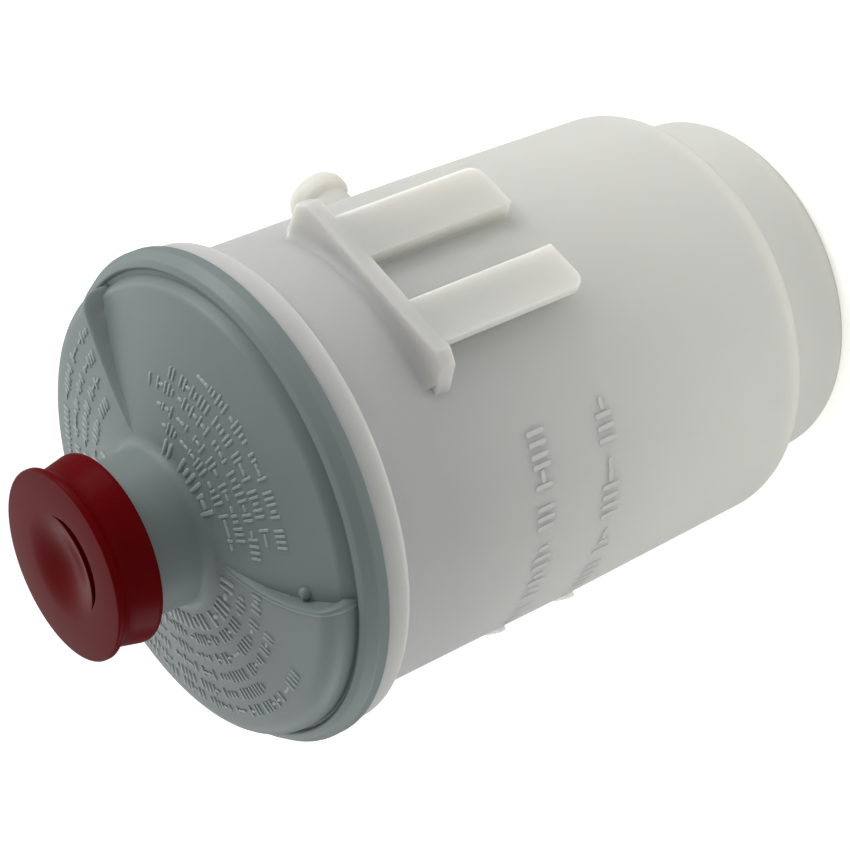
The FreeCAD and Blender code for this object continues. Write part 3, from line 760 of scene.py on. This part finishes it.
@dataclass
class Lid:
    """The grey lid: rim, groove, raised deck, sunk sector, two slim fins and the filler neck."""

    bottom: float = 128.9
    wall: float = 2.2
    rim_radius: float = 48.9
    rim_height: float = 131.3
    rim_bend: float = 47.6
    crown_radius: float = 45.2
    groove_height: float = 134.0
    groove_depth: float = 0.9
    groove_floor: float = 0.5
    groove_mouth: float = 1.0
    crown_top: float = 139.0
    crown_bend: float = 4.0
    cavity_radius: float = 42.6
    neck_foot: float = 143.7
    neck_foot_radius: float = 15.4
    neck_radius: float = 15.0
    neck_top: float = 160.7
    neck_bore: float = 12.9
    neck_bead_top: float = 157.9
    neck_bead: float = 0.5
    step_start: float = 18.5
    top_steps: int = 32
    under_steps: int = 12
    sector_edge: float = 43.5
    sector_bend: float = 1.8
    sector_drop: float = 3.9
    sector_swell: float = 0.37
    wall_width: float = 0.5
    wall_shift: float = 1.6
    fin_width: float = 1.0
    fin_height: float = 0.5
    fin_lean: float = 0.35
    fin_taper: float = 0.06
    fin_roundness: float = 0.6
    fine_right: float = 203.0
    fine_left: float = 325.5
    sector_middle: float = 267.0
    left: StepWall = StepWall((316.0, 331.0, 333.5))
    right: StepWall = StepWall((206.0, 199.6, 205.5))
    boss_radius: float = 36.3
    boss_azimuth: float = 203.6
    boss_size: float = 1.25

    def deck_height(self, radius: float) -> float:
        """Return the deck's height at a radius."""
        fall = (self.neck_foot - self.crown_top) / (self.crown_radius - self.neck_foot_radius)
        return self.neck_foot - fall * (radius - self.neck_foot_radius)

    def sector_height(self, radius: float) -> float:
        """Return the sunk sector's height at a radius."""
        start = self.deck_height(self.step_start)
        edge = self.deck_height(self.sector_edge) - self.sector_drop
        part = (radius - self.step_start) / (self.sector_edge - self.step_start)
        return start + (edge - start) * part + self.sector_swell * arch(part)

    def crown_line(self, corner: Corner, foot: Point, under: float, count: int,
                   swell: float) -> list[Point]:
        """Draw one line of the lid's top from the neck to the groove.

        Args:
            corner: the outer edge, (radius, height, rounding).
            foot: the (radius, height) at the foot of the outer wall.
            under: how far the start lies under the deck.
            count: how many edges the sloping stretch gets.
            swell: how far the middle of that stretch stands above a straight line.

        Returns:
            As many points for any corner, so that two such lines can be blended.
        """
        start = (self.step_start, self.deck_height(self.step_start) - under)
        bend = rounded([start, corner, foot], steps=8)[1:-1]
        slope = []
        for part in (step / count for step in range(count)):
            height = start[1] + (bend[0][1] - start[1]) * part + swell * arch(part)
            slope.append((start[0] + (bend[0][0] - start[0]) * part, height))
        edge = bend[-1]
        fall = [(edge[0] + (foot[0] - edge[0]) * step / 4, edge[1] + (foot[1] - edge[1]) * step / 4)
                for step in range(1, 5)]
        return slope + bend + fall

    def sections(self) -> tuple[list[Point], list[Point], int, int]:
        """Draw the closed sections through the deck and through the sector.

        Returns:
            Both sections, with as many points, and how many points lie before the rim and before
            the inside.
        """
        neck = rounded([
            (self.neck_bore, self.neck_top - 1.0),
            (self.neck_bore + 0.5, self.neck_top, 0.3),
            (self.neck_radius, self.neck_top, 0.5),
            (self.neck_radius, self.neck_bead_top, 0.3),
            (self.neck_radius + self.neck_bead, self.neck_bead_top - 0.5, 0.2),
            (self.neck_radius + 0.1, self.neck_bead_top - 1.3, 0.2),
            (self.neck_foot_radius, self.neck_foot, 2.5),
            (self.step_start, self.deck_height(self.step_start)),
        ])[:-1]
        groove = self.groove_height - self.groove_depth
        rim = rounded([
            (self.crown_radius + 0.1, groove),
            (self.crown_radius + self.groove_floor, groove, 0.2),
            (self.crown_radius + self.groove_mouth, self.groove_height - 0.1, 0.5),
            (self.rim_bend, self.groove_height - 0.7, 1.0),
            (self.rim_radius, self.rim_height, 0.9),
            (self.rim_radius, self.bottom, 0.3),
            (self.cavity_radius, self.bottom),
        ])
        wall = self.wall
        corner = (self.crown_radius, self.crown_top, self.crown_bend)
        deck = self.crown_line(corner, (self.crown_radius, groove), 0, self.top_steps, 0.0)
        corner = (self.sector_edge, self.sector_height(self.sector_edge), self.sector_bend)
        foot = (self.crown_radius - 0.4, groove)
        sunk = self.crown_line(corner, foot, 0, self.top_steps, self.sector_swell)
        foot = (self.cavity_radius, self.bottom + 1.0)
        corner = (self.cavity_radius, self.deck_height(self.cavity_radius) - wall, 2.0)
        deck_under = self.crown_line(corner, foot, wall, self.under_steps, 0.0)
        edge = self.sector_edge - wall
        corner = (edge, self.sector_height(edge) - wall, 1.0)
        sunk_under = self.crown_line(corner, foot, wall, self.under_steps, self.sector_swell)
        bore = [(self.neck_bore, self.deck_height(self.neck_bore) - wall)]
        through_deck = neck + deck + rim + deck_under[::-1] + bore
        through_sector = neck + sunk + rim + sunk_under[::-1] + bore
        top_count = len(neck + deck)
        return through_deck, through_sector, top_count, top_count + len(rim)

    def follow_walls(self, azimuth: float, radius: float) -> float:
        """Move an evenly spun azimuth so that the fine steps lie along both walls.

        Args:
            azimuth: the azimuth before.
            radius: the radius it is at.

        Returns:
            The azimuth after.
        """
        knots = (0.0, self.fine_right, self.sector_middle, self.fine_left, 360.0)
        goals = (0.0, self.right.azimuth(radius), self.sector_middle, self.left.azimuth(radius), 360.0)
        for low, high, start, end in zip(knots, knots[1:], goals, goals[1:]):
            if azimuth <= high:
                return start + (end - start) * (azimuth - low) / (high - low)
        return azimuth

    def depth(self, radius: float, azimuth: float) -> float:
        """Return how far a point lies inside the sector in millimetres, negative on the deck."""
        return min(self.right.distance(radius, azimuth), -self.left.distance(radius, azimuth))

    def sunk_share(self, depth: float) -> float:
        """Return how far the surface has dropped at a depth inside the sector, from 0 to 1."""
        across = min(max(depth / self.wall_width, 0.0), 1.0)
        return 1 - math.sqrt(1 - across ** 2)

    def fin(self, radius: float, depth: float) -> float:
        """Work out how far a fin stands proud of the deck beside its wall.

        Args:
            radius: the radius of the place.
            depth: how far the place lies inside the sector.

        Returns:
            The height, which tapers to nothing at both ends of the fin.
        """
        across = (depth + self.fin_width * self.fin_lean) / (self.fin_width * (1 - self.fin_lean))
        if radius <= self.step_start or abs(across) >= 1:
            return 0.0
        share = min(max(self.left.share(radius), 0.0), 1.0)
        taper = math.sin(math.pi * (self.fin_taper + (1 - 2 * self.fin_taper) * share))
        return self.fin_height * taper ** self.fin_roundness * (1 - across ** 2) ** self.fin_roundness

    def height(self, radius: float, azimuth: float) -> float:
        """Return the height of the lid's top face, deck or sector, at a place."""
        share = self.sunk_share(self.depth(radius, azimuth))
        return self.deck_height(radius) + (self.sector_height(radius) - self.deck_height(radius)) * share

    def form(self, lid: bpy.types.Object, deck: Sequence[Point], sunk: Sequence[Point],
             rim_start: int, inside_start: int) -> None:
        """Lower the sector and raise the fins by moving the turned lid's vertices.

        Args:
            lid: the lid, turned from the deck's section all round.
            deck: that section.
            sunk: the section through the sector, with as many points.
            rim_start: how many points lie before the rim.
            inside_start: how many points lie before the inside.
        """
        tree = KDTree(len(deck))
        for index, point in enumerate(deck):
            tree.insert((point[0], point[1], 0), index)
        tree.balance()
        for vertex in lid.data.vertices:
            flat = vertex.co.xy / MM
            index = tree.find((flat.length, vertex.co.z / MM, 0))[1]
            radius, height = deck[index]
            azimuth = self.follow_walls(azimuth_of(flat), radius)
            depth = self.depth(radius, azimuth)
            inside = index >= inside_start
            share = self.sunk_share(depth + (self.wall_shift if inside else 0))
            radius += (sunk[index][0] - radius) * share
            height += (sunk[index][1] - height) * share
            # The fins run over the edge of the deck, down to the floor of the groove.
            if index < rim_start + 2 and radius > self.step_start:
                ahead = (Vector(deck[index + 1]) - Vector(deck[index - 1])).normalized()
                proud = self.fin(radius, depth)
                radius -= ahead.y * proud
                height += ahead.x * proud
            spot = at_azimuth(radius, azimuth)
            vertex.co = Vector((spot.x, spot.y, height)) * MM

    def boss(self) -> bpy.types.Object:
        """Build the small round pip beside the right wall.

        Returns:
            The pip, which reaches into the deck.
        """
        spot = at_azimuth(self.boss_radius, self.boss_azimuth)
        ground = self.height(self.boss_radius, self.boss_azimuth)
        size = self.boss_size
        points = rounded([
            (0, -1.2),
            (size, -1.2),
            (size, size * 0.3),
            (size * 0.55, size * 0.85, 0.4),
            (0, size * 0.9),
        ])
        return turned("boss", points, ((360, 24),), Axis(Vector((spot.x, spot.y, ground))))

    def build(self) -> bpy.types.Object:
        """Build the lid: turn the section of the deck, then lower the sector and raise the fins.

        Returns:
            The lid, attached to its body, with the CAD lid hidden.
        """
        deck, sunk, rim_start, inside_start = self.sections()
        near = (10, 14)
        fine = (8, 56)
        spans = ((188, 75), near, fine, near, (96, 38), near, fine, near, (20, 8))
        lid = turned("lid_shell", deck, spans, closed=True)
        self.form(lid, deck, sunk, rim_start, inside_start)
        lid = join("lid_shell", [lid, self.boss()])
        shade(lid, 40)
        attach(lid, "reservoir")
        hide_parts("lid")
        return lid


class Stroke(Enum):
    """The kinds of raised bar in a row: its width and its height as shares of the row's height."""

    UPRIGHT = (0.27, 1.0)
    SHORT = (0.29, 0.6)
    FLAT = (0.62, 0.27)


@dataclass(frozen=True)
class BarRow:
    """One row of small raised bars along an arc."""

    reach: float
    start: float
    end: float
    tall: float
    seed: int
    drift: float = 0.0
    proud: float = 0.28

    @property
    def length(self) -> float:
        """How long the row is, in millimetres."""
        return abs(math.radians(self.end - self.start)) * self.reach


# Where a bar's point goes: the row, how far along it, how far across it and how far proud.
Placer = Callable[[BarRow, float, float, float], Vector]


def round_bar(name: str) -> bpy.types.Object:
    """Model one soft raised bar of unit size: the upper half of a flattened ball."""
    deselect()
    bpy.ops.mesh.primitive_uv_sphere_add(segments=10, ring_count=6, radius=0.5)
    bar = bpy.context.object
    bar.name = name
    bpy.ops.object.mode_set(mode="EDIT")
    bpy.ops.mesh.select_all(action="SELECT")
    bpy.ops.mesh.bisect(plane_co=(0, 0, -0.05), plane_no=(0, 0, 1), use_fill=True, clear_inner=True)
    tidy_mesh(bar)
    return bar


@dataclass
class RaisedRows:
    """Rows of raised bars laid along arcs of a surface.

    The margin, the pitch and the gap are shares of a row's height.
    """

    name: str
    rows: Sequence[BarRow]
    place: Placer
    group: tuple[int, int] = (3, 8)
    margin: float = 0.3
    pitch: tuple[float, float] = (0.44, 0.58)
    gap: float = 0.55
    sink: float = 0.1

    def bar(self, shape: bpy.types.Object, row: BarRow, middle: float,
            stroke: Stroke) -> bpy.types.Object:
        """Copy the bar, give it its size and bend it onto the surface.

        Args:
            shape: the unit bar.
            row: the row it belongs to.
            middle: how far its middle lies along the row, in millimetres.
            stroke: its kind.

        Returns:
            The placed bar.
        """
        wide, tall = (row.tall * share for share in stroke.value)
        thick = min(wide, tall)
        piece = shape.copy()
        piece.data = shape.data.copy()
        bpy.context.collection.objects.link(piece)
        for vertex in piece.data.vertices:
            x, y, z = vertex.co
            along = x * thick + math.copysign(max(wide - thick, 0) / 2, x) * (abs(x) > 0.01)
            across = y * thick + math.copysign(max(tall - thick, 0) / 2, y) * (abs(y) > 0.01)
            rise = row.proud * (2 * z) ** 0.5 if z > 0 else -self.sink
            vertex.co = self.place(row, middle + along, across, rise) * MM
        return piece

    def build(self) -> bpy.types.Object:
        """Build all rows as one mesh, with the bars in short groups.

        Returns:
            The mesh.
        """
        shape = round_bar("bar")
        kinds = (Stroke.UPRIGHT, Stroke.UPRIGHT, Stroke.UPRIGHT, Stroke.SHORT, Stroke.FLAT)
        bars = []
        for row in self.rows:
            chance = random.Random(row.seed)
            along = row.tall * self.margin
            end = row.length - row.tall * self.margin
            while along < end:
                for _ in range(chance.randint(*self.group)):
                    bars.append(self.bar(shape, row, along, chance.choice(kinds)))
                    along += row.tall * chance.uniform(*self.pitch)
                    if along > end:
                        break
                along += row.tall * self.gap
        bpy.data.objects.remove(shape)
        rows = join(self.name, bars)
        bpy.ops.object.mode_set(mode="EDIT")
        bpy.ops.mesh.select_all(action="SELECT")
        bpy.ops.mesh.normals_make_consistent(inside=False)
        bpy.ops.object.mode_set(mode="OBJECT")
        shade(rows, 60)
        return rows


@dataclass
class Cap:
    """The red push-on cap: a waisted spool with a dished top, a finger slot and a plug."""

    top: float = 165.4
    bottom: float = 155.9
    skirt_radius: float = 18.4
    skirt_inner: float = 15.9
    waist_radius: float = 17.4
    waist_start: float = 2.6
    waist_end: float = 4.6
    lip_radius: float = 18.6
    lip_thickness: float = 1.1
    underside: float = 161.9
    plug_radius: float = 12.7
    plug_wall: float = 1.8
    plug_bottom: float = 154.7
    dish_radius: float = 11.0
    dish_depth: float = 2.0
    slot_azimuth: float = 237.0
    slot_half: float = 66.0
    slot_end_radius: float = 10.2
    slot_inner: float = 9.2
    slot_outer: float = 11.7
    slot_depth: float = 0.7
    bead_radius: float = 0.25

    def section(self) -> list[Point]:
        """Draw the half section.

        Returns:
            The points, from the middle of the dish round to the middle of the underside.
        """
        radii = (self.dish_radius * step / CURVE_STEPS for step in range(CURVE_STEPS + 1))
        dish = [(radius, self.top - self.dish_sink(radius)) for radius in radii]
        rest = rounded([
            dish[-1],
            (self.lip_radius, self.top, 0.45),
            (self.lip_radius, self.top - self.lip_thickness, 0.4),
            (self.waist_radius, self.top - self.waist_start, 1.6),
            (self.waist_radius + 0.1, self.top - self.waist_end, 4.0),
            (self.skirt_radius, self.bottom + 0.9, 0.4),
            (self.skirt_radius, self.bottom, 0.35),
            (self.skirt_inner, self.bottom, 0.35),
            (self.skirt_inner, self.underside, 0.4),
            (self.plug_radius, self.underside, 0.3),
            (self.plug_radius, self.plug_bottom, 0.5),
            (self.plug_radius - self.plug_wall, self.plug_bottom, 0.4),
            (self.plug_radius - self.plug_wall, self.underside, 0.6),
            (0, self.underside),
        ])
        return dish[:-1] + rest

    def dish_sink(self, radius: float) -> float:
        """Return how far the soft-edged dish lies under the top at a radius."""
        return self.dish_depth * (1 + math.cos(math.pi * min(radius / self.dish_radius, 1.0))) / 2

    def slot_outline(self) -> list[Point]:
        """Draw the outline of the crescent that is cut out beside the dish.

        Returns:
            The points, along its outer edge and back along its inner one.
        """
        first, last = (at_azimuth(self.slot_end_radius, self.slot_azimuth + side * self.slot_half)
                       for side in (-1, 1))
        middles = (at_azimuth(radius, self.slot_azimuth) for radius in (self.slot_outer, self.slot_inner))
        outer, inner = (arc_through(first, middle, last, self.slot_azimuth) for middle in middles)
        return [(point.x, point.y) for point in outer + inner[-2:0:-1]]

    def slot(self) -> bpy.types.Object:
        """Build the crescent as a solid that is cut away."""
        floor = self.top - self.slot_depth
        return prism("finger_slot", self.slot_outline(), floor, self.top + 2.0, 0.12)

    def slot_bead(self) -> bpy.types.Object:
        """Build the fine rounded bead along the slot's edge.

        Returns:
            The bead, no higher than the cap's top.
        """
        places = []
        for x, y in self.slot_outline():
            level = self.top - self.dish_sink(math.hypot(x, y))
            places.append(Vector((x, y, min(level, self.top - self.bead_radius))) * MM)
        bead = draw_line("slot_bead", places, True)
        bpy.ops.object.mode_set(mode="OBJECT")
        bpy.ops.object.convert(target="CURVE")
        bead.data.bevel_depth = self.bead_radius * MM
        bead.data.bevel_resolution = 3
        bpy.ops.object.convert(target="MESH")
        bead = bpy.context.object
        bpy.ops.object.mode_set(mode="EDIT")
        tidy_mesh(bead)
        return bead

    def build(self) -> bpy.types.Object:
        """Build the cap: turn its section, cut the finger slot and edge it with a bead.

        Returns:
            The cap, with its body, its node and its slot declared.
        """
        cap = turned("cap_spool", self.section(), ((360, 160),))
        combine(cap, self.slot(), Boolean.CUT)
        cap = join("cap_spool", [cap, self.slot_bead()])
        shade(cap, 40)
        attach(cap, "cap")
        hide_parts("cap")
        return cap


@dataclass(frozen=True)
class WovenScreen:
    """A woven nylon screen: two sets of round threads crossing at a right angle."""

    name: str = "woven_nylon"
    colour: str = "#d8d6cc"
    shadow: str = "#77756c"
    spacing: float = 0.8
    thread_depth: float = 0.1
    # A Wave texture of scale 1 repeats after this length.
    wave_period: float = 0.314

    def material(self) -> bpy.types.Material:
        """Build the material's nodes.

        Returns:
            The material.
        """
        material, tree = new_material(self.name)
        place = add_node(tree, "ShaderNodeTexCoord").outputs["Object"]
        scale = self.wave_period / (self.spacing * MM)
        across, down = (add_node(tree, "ShaderNodeTexWave", {"bands_direction": way}, Vector=place,
                                 Scale=scale).outputs["Fac"] for way in ("X", "Y"))
        weave = add_node(tree, "ShaderNodeMath", {"operation": "MAXIMUM"},
                         {0: across, 1: down}).outputs[0]
        colour = add_node(tree, "ShaderNodeMix", {"data_type": "RGBA"},
                          {MIX_FACTOR: weave, MIX_FIRST: linear(self.shadow),
                           MIX_SECOND: linear(self.colour)})
        bump = add_node(tree, "ShaderNodeBump", Strength=1.0, Distance=self.thread_depth * MM,
                        Height=weave)
        surface = add_node(tree, "ShaderNodeBsdfPrincipled", Base_Color=colour.outputs[MIX_RESULT],
                           Roughness=0.5, Normal=bump.outputs["Normal"], IOR=1.53)
        add_node(tree, "ShaderNodeOutputMaterial", Surface=surface.outputs["BSDF"])
        return material


@dataclass(frozen=True)
class Lamp:
    """A square lamp that faces the tank's axis, with its lengths in metres and its power in watts."""

    name: str
    place: tuple[float, float, float]
    size: float
    power: float
    aim_height: float = 0.08

    def hang(self) -> bpy.types.Object:
        """Hang the lamp, unseen by the camera.

        Returns:
            The lamp.
        """
        data = bpy.data.lights.new(self.name, "AREA")
        data.size = self.size
        data.energy = self.power
        lamp = bpy.data.objects.new(self.name, data)
        lamp.visible_camera = False
        bpy.context.collection.objects.link(lamp)
        place = Vector(self.place)
        aim = Vector((0, 0, self.aim_height)) - place
        lamp.matrix_world = Matrix.Translation(place) @ aim.to_track_quat("-Z", "Y").to_matrix().to_4x4()
        return lamp


@dataclass
class Studio:
    """The floor, the light and the camera."""

    eye: Vector = field(default_factory=lambda: Vector((-216.18, -359.82, 347.24)))
    forward: Vector = field(default_factory=lambda: Vector((0.43146, 0.72782, -0.5331)))
    right: Vector = field(default_factory=lambda: Vector((-0.59043, -0.21903, -0.7768)))
    lens: float = 106.63
    floor_size: float = 6.0
    floor_colour: str = "#f4f4f2"
    floor_lift: float = 0.45
    # Painted shade: the grey the floor shows in reflections, darker than it is.
    reflected_floor_shade: float = 0.2
    back_strength: float = 1.3
    front_strength: float = 0.24
    lamps: tuple[Lamp, ...] = (
        Lamp("key", (0.55, -0.4, 0.4), 0.3, 1.9),
        Lamp("left", (0.32, -0.3, 0.04), 0.25, 0.4),
        Lamp("right", (-0.3, 0.28, 0.04), 0.25, 0.4),
        Lamp("foot", (-0.105, -0.105, 0.02), 0.12, 0.045, 0.0),
    )

    def camera(self) -> bpy.types.Object:
        """Place the camera at the photograph's viewing angle.

        Returns:
            The camera.
        """
        data = bpy.data.cameras.new("camera")
        data.lens = self.lens
        data.sensor_width = 36.0
        data.clip_start = 0.01
        camera = bpy.data.objects.new("camera", data)
        bpy.context.collection.objects.link(camera)
        ahead = self.forward.normalized()
        side = (self.right - ahead * self.right.dot(ahead)).normalized()
        turn = Matrix((side, side.cross(ahead), -ahead)).transposed()
        camera.matrix_world = Matrix.Translation(self.eye * MM) @ turn.to_4x4()
        bpy.context.scene.camera = camera
        return camera

    def floor(self) -> bpy.types.Object:
        """Lay the pale floor, which looks white to the camera and keeps the object's shadow.

        Returns:
            The floor.
        """
        deselect()
        bpy.ops.mesh.primitive_plane_add(size=self.floor_size, location=(0, 0, 0))
        floor = bpy.context.object
        floor.name = "floor"
        material, tree = new_material("matt_paper")
        path = add_node(tree, "ShaderNodeLightPath")
        lift = add_node(tree, "ShaderNodeMath", {"operation": "MULTIPLY"},
                        {0: path.outputs["Is Camera Ray"], 1: self.floor_lift})
        # Painted shade in reflections: glossy rays see the floor as dark grey, so it shows dim in what
        # the parts reflect.
        shade_in_reflections = (self.reflected_floor_shade, self.reflected_floor_shade, self.reflected_floor_shade, 1)
        colour = add_node(tree, "ShaderNodeMix", {"data_type": "RGBA"},
                          {MIX_FACTOR: path.outputs["Is Glossy Ray"],
                           MIX_FIRST: linear(self.floor_colour), MIX_SECOND: shade_in_reflections})
        surface = add_node(tree, "ShaderNodeBsdfPrincipled", Base_Color=colour.outputs[MIX_RESULT],
                           Roughness=0.9, Emission_Color=(1, 1, 1, 1), Emission_Strength=lift.outputs[0])
        add_node(tree, "ShaderNodeOutputMaterial", Surface=surface.outputs["BSDF"])
        dress(floor, material)
        return floor

    def world(self) -> None:
        """Light everything softly from all round, with white behind."""
        world = bpy.data.worlds.new("world")
        bpy.context.scene.world = world
        world.use_nodes = True
        tree = world.node_tree
        tree.nodes.clear()
        path = add_node(tree, "ShaderNodeLightPath")
        direction = add_node(tree, "ShaderNodeTexCoord").outputs["Generated"]
        along = add_node(tree, "ShaderNodeVectorMath", {"operation": "DOT_PRODUCT"},
                         {0: direction, 1: self.forward})
        around = add_node(tree, "ShaderNodeMapRange", Value=along.outputs["Value"], From_Min=-1.0,
                          From_Max=0.6, To_Min=self.front_strength, To_Max=self.back_strength)
        strength = add_node(tree, "ShaderNodeMix", {"data_type": "FLOAT"},
                            Factor=path.outputs["Is Camera Ray"], A=around.outputs["Result"], B=1.0)
        light = add_node(tree, "ShaderNodeBackground", Color=(1, 1, 1, 1), Strength=strength.outputs[0])
        add_node(tree, "ShaderNodeOutputWorld", Surface=light.outputs["Background"])

    def build(self) -> None:
        """Set up the camera, the floor and the lights."""
        self.camera()
        self.floor()
        self.world()
        for lamp in self.lamps:
            lamp.hang()
        bpy.context.scene.view_settings.view_transform = "Standard"


# Natural polypropylene, injection moulded: milky, lets light in a little way, soft sheen. It runs from a
# darker grey near the lid to a paler, warmer white at the foot: partly its own yellower tint, partly
# painted light.
NATURAL_POLYPROPYLENE = MouldedPlastic("natural_polypropylene", "#c4c4c3", "#bdbdba", 0.4,
                                       subsurface=1.0, depth=8.0, specular=0.3,
                                       foot_tint_and_painted_light="#f3f1e2", foot_height=110.0)
# The same plastic in strokes too thin to let light in.
THIN_POLYPROPYLENE = MouldedPlastic("natural_polypropylene_strokes", "#cfcfcd", "#c8c8c4", 0.4,
                                    specular=0.3)
# Glass-filled nylon, injection moulded: satin, blue-grey, with a fine mould grain.
GREY_NYLON = MouldedPlastic("glass_filled_nylon", "#7e8988", "#768280", 0.45, ior=1.53, specular=0.35)
# The same nylon on raised strokes, painted paler as a highlight where their rounded tops catch the light.
HIGHLIGHTED_NYLON = MouldedPlastic("glass_filled_nylon_painted_highlight", "#a2adab", "#949f9c", 0.4, ior=1.53,
                              specular=0.4)
# Acetal, injection moulded: deep red and glossy.
RED_ACETAL = MouldedPlastic("red_acetal", "#66050a", "#5b0408", 0.28, ior=1.48, skin_depth=0.003,
                            wave_depth=0.02, specular=0.035)
# Nitrile rubber, moulded: dull black.
NITRILE = MouldedPlastic("nitrile_rubber", "#1c1c1c", "#242424", 0.7, ior=1.52)
# Nylon, injection moulded: plain off-white with a satin face.
WHITE_NYLON = MouldedPlastic("natural_nylon", "#d9d6c8", "#cfcbbb", 0.45, ior=1.53)


def on_lid(lid: Lid) -> Placer:
    """Make the function that lays a bar on the lid's top face.

    Args:
        lid: the lid.

    Returns:
        The function.
    """
    def place(row: BarRow, along: float, across: float, proud: float) -> Vector:
        """Return the place of a point: along the arc, across it outwards, and proud of the face."""
        turn = math.copysign(1, row.end - row.start)
        radius = row.reach + row.drift * along / row.length + across
        azimuth = row.start + turn * math.degrees(along / row.reach)
        spot = at_azimuth(radius, azimuth)
        return Vector((spot.x, spot.y, lid.height(radius, azimuth % 360) + proud))
    return place


def on_tank(tank: Tank, height: float) -> Placer:
    """Make the function that lays a bar on the tank's side.

    Args:
        tank: the tank.
        height: the height of the row's middle.

    Returns:
        The function.
    """
    def place(row: BarRow, along: float, across: float, proud: float) -> Vector:
        """Return the place of a point: along the arc, up the side, and proud of the face."""
        turn = math.copysign(1, row.end - row.start)
        rise = (height + across - tank.shoulder_height) / (tank.mid_height - tank.shoulder_height)
        radius = tank.low_radius + (tank.mid_radius - tank.low_radius) * min(rise, 1.0)
        spot = at_azimuth(radius + proud, row.start + turn * math.degrees(along / row.reach))
        return Vector((spot.x, spot.y, height + across))
    return place


def build_marks(lid: Lid, tank: Tank) -> list[bpy.types.Object]:
    """Build the rows of raised bars on the lid and beside the level marks.

    Args:
        lid: the lid that they lie on.
        tank: the tank that they lie on.

    Returns:
        One piece for the lid and one for each level mark.
    """
    sector = [
        BarRow(17.8, 231, 288, 3.4, 10),
        BarRow(21.4, 213, 290, 2.3, 11),
        BarRow(23.9, 217, 297, 2.3, 12, 0.6),
        BarRow(26.7, 210, 306, 2.3, 13, 1.4),
        BarRow(29.7, 217, 294, 2.3, 14, 1.2),
        BarRow(33.0, 216, 282, 2.3, 15, 1.0),
    ]
    deck = [
        BarRow(19.7, 196, 3, 3.6, 20, 0.8),
        BarRow(23.4, 191, -24, 2.5, 21, 1.8),
        BarRow(27.0, 197, -23, 2.5, 22, 3.0),
        BarRow(31.0, 183, -24, 2.5, 23, 3.3),
        BarRow(35.0, 159, -25, 2.5, 24, 4.0),
        BarRow(38.6, 178, 62, 2.5, 25, 1.0),
    ]
    pieces = [RaisedRows("lid_raised_bars", sector + deck, on_lid(lid)).build()]
    for name, seed, height in (("upper_level_bars", 50, 89.0), ("lower_level_bars", 51, 72.8)):
        row = BarRow(tank.mid_radius, 226, 154, 4.4, seed, proud=0.1)
        pieces.append(RaisedRows(name, [row], on_tank(tank, height)).build())
    for piece, slot in zip(pieces, ("lid_plastic", "tank_plastic", "tank_plastic")):
        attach(piece, "reservoir")
    return pieces


def main() -> None:
    """Build the reservoir's looks and the studio around it."""
    logging.basicConfig(level=logging.INFO, format="%(name)s: %(message)s")
    milky = NATURAL_POLYPROPYLENE.material()
    grey = GREY_NYLON.material()
    tank_sizes = Tank()
    lid_sizes = Lid()
    tank = tank_sizes.build()
    dress(tank, milky)
    lid = lid_sizes.build()
    dress(lid, grey)
    cap = Cap().build()
    dress(cap, RED_ACETAL.material())
    marks = build_marks(lid_sizes, tank_sizes)
    strokes = THIN_POLYPROPYLENE.material()
    # The lid's bars take the paler nylon, a painted highlight.
    for piece, material in zip(marks, (HIGHLIGHTED_NYLON.material(), strokes, strokes)):
        dress(piece, material)
    inner = (("cap_seal", NITRILE), ("strainer_frame", WHITE_NYLON), ("strainer_mesh", WovenScreen()))
    for node, finish in inner:
        dress(bpy.data.objects[node], finish.material())
    for piece in (tank, lid, cap, *marks):
        LOG.info("%s has %d faces", piece.name, len(piece.data.polygons))
    Studio().build()


if __name__ == "__main__":
    main()
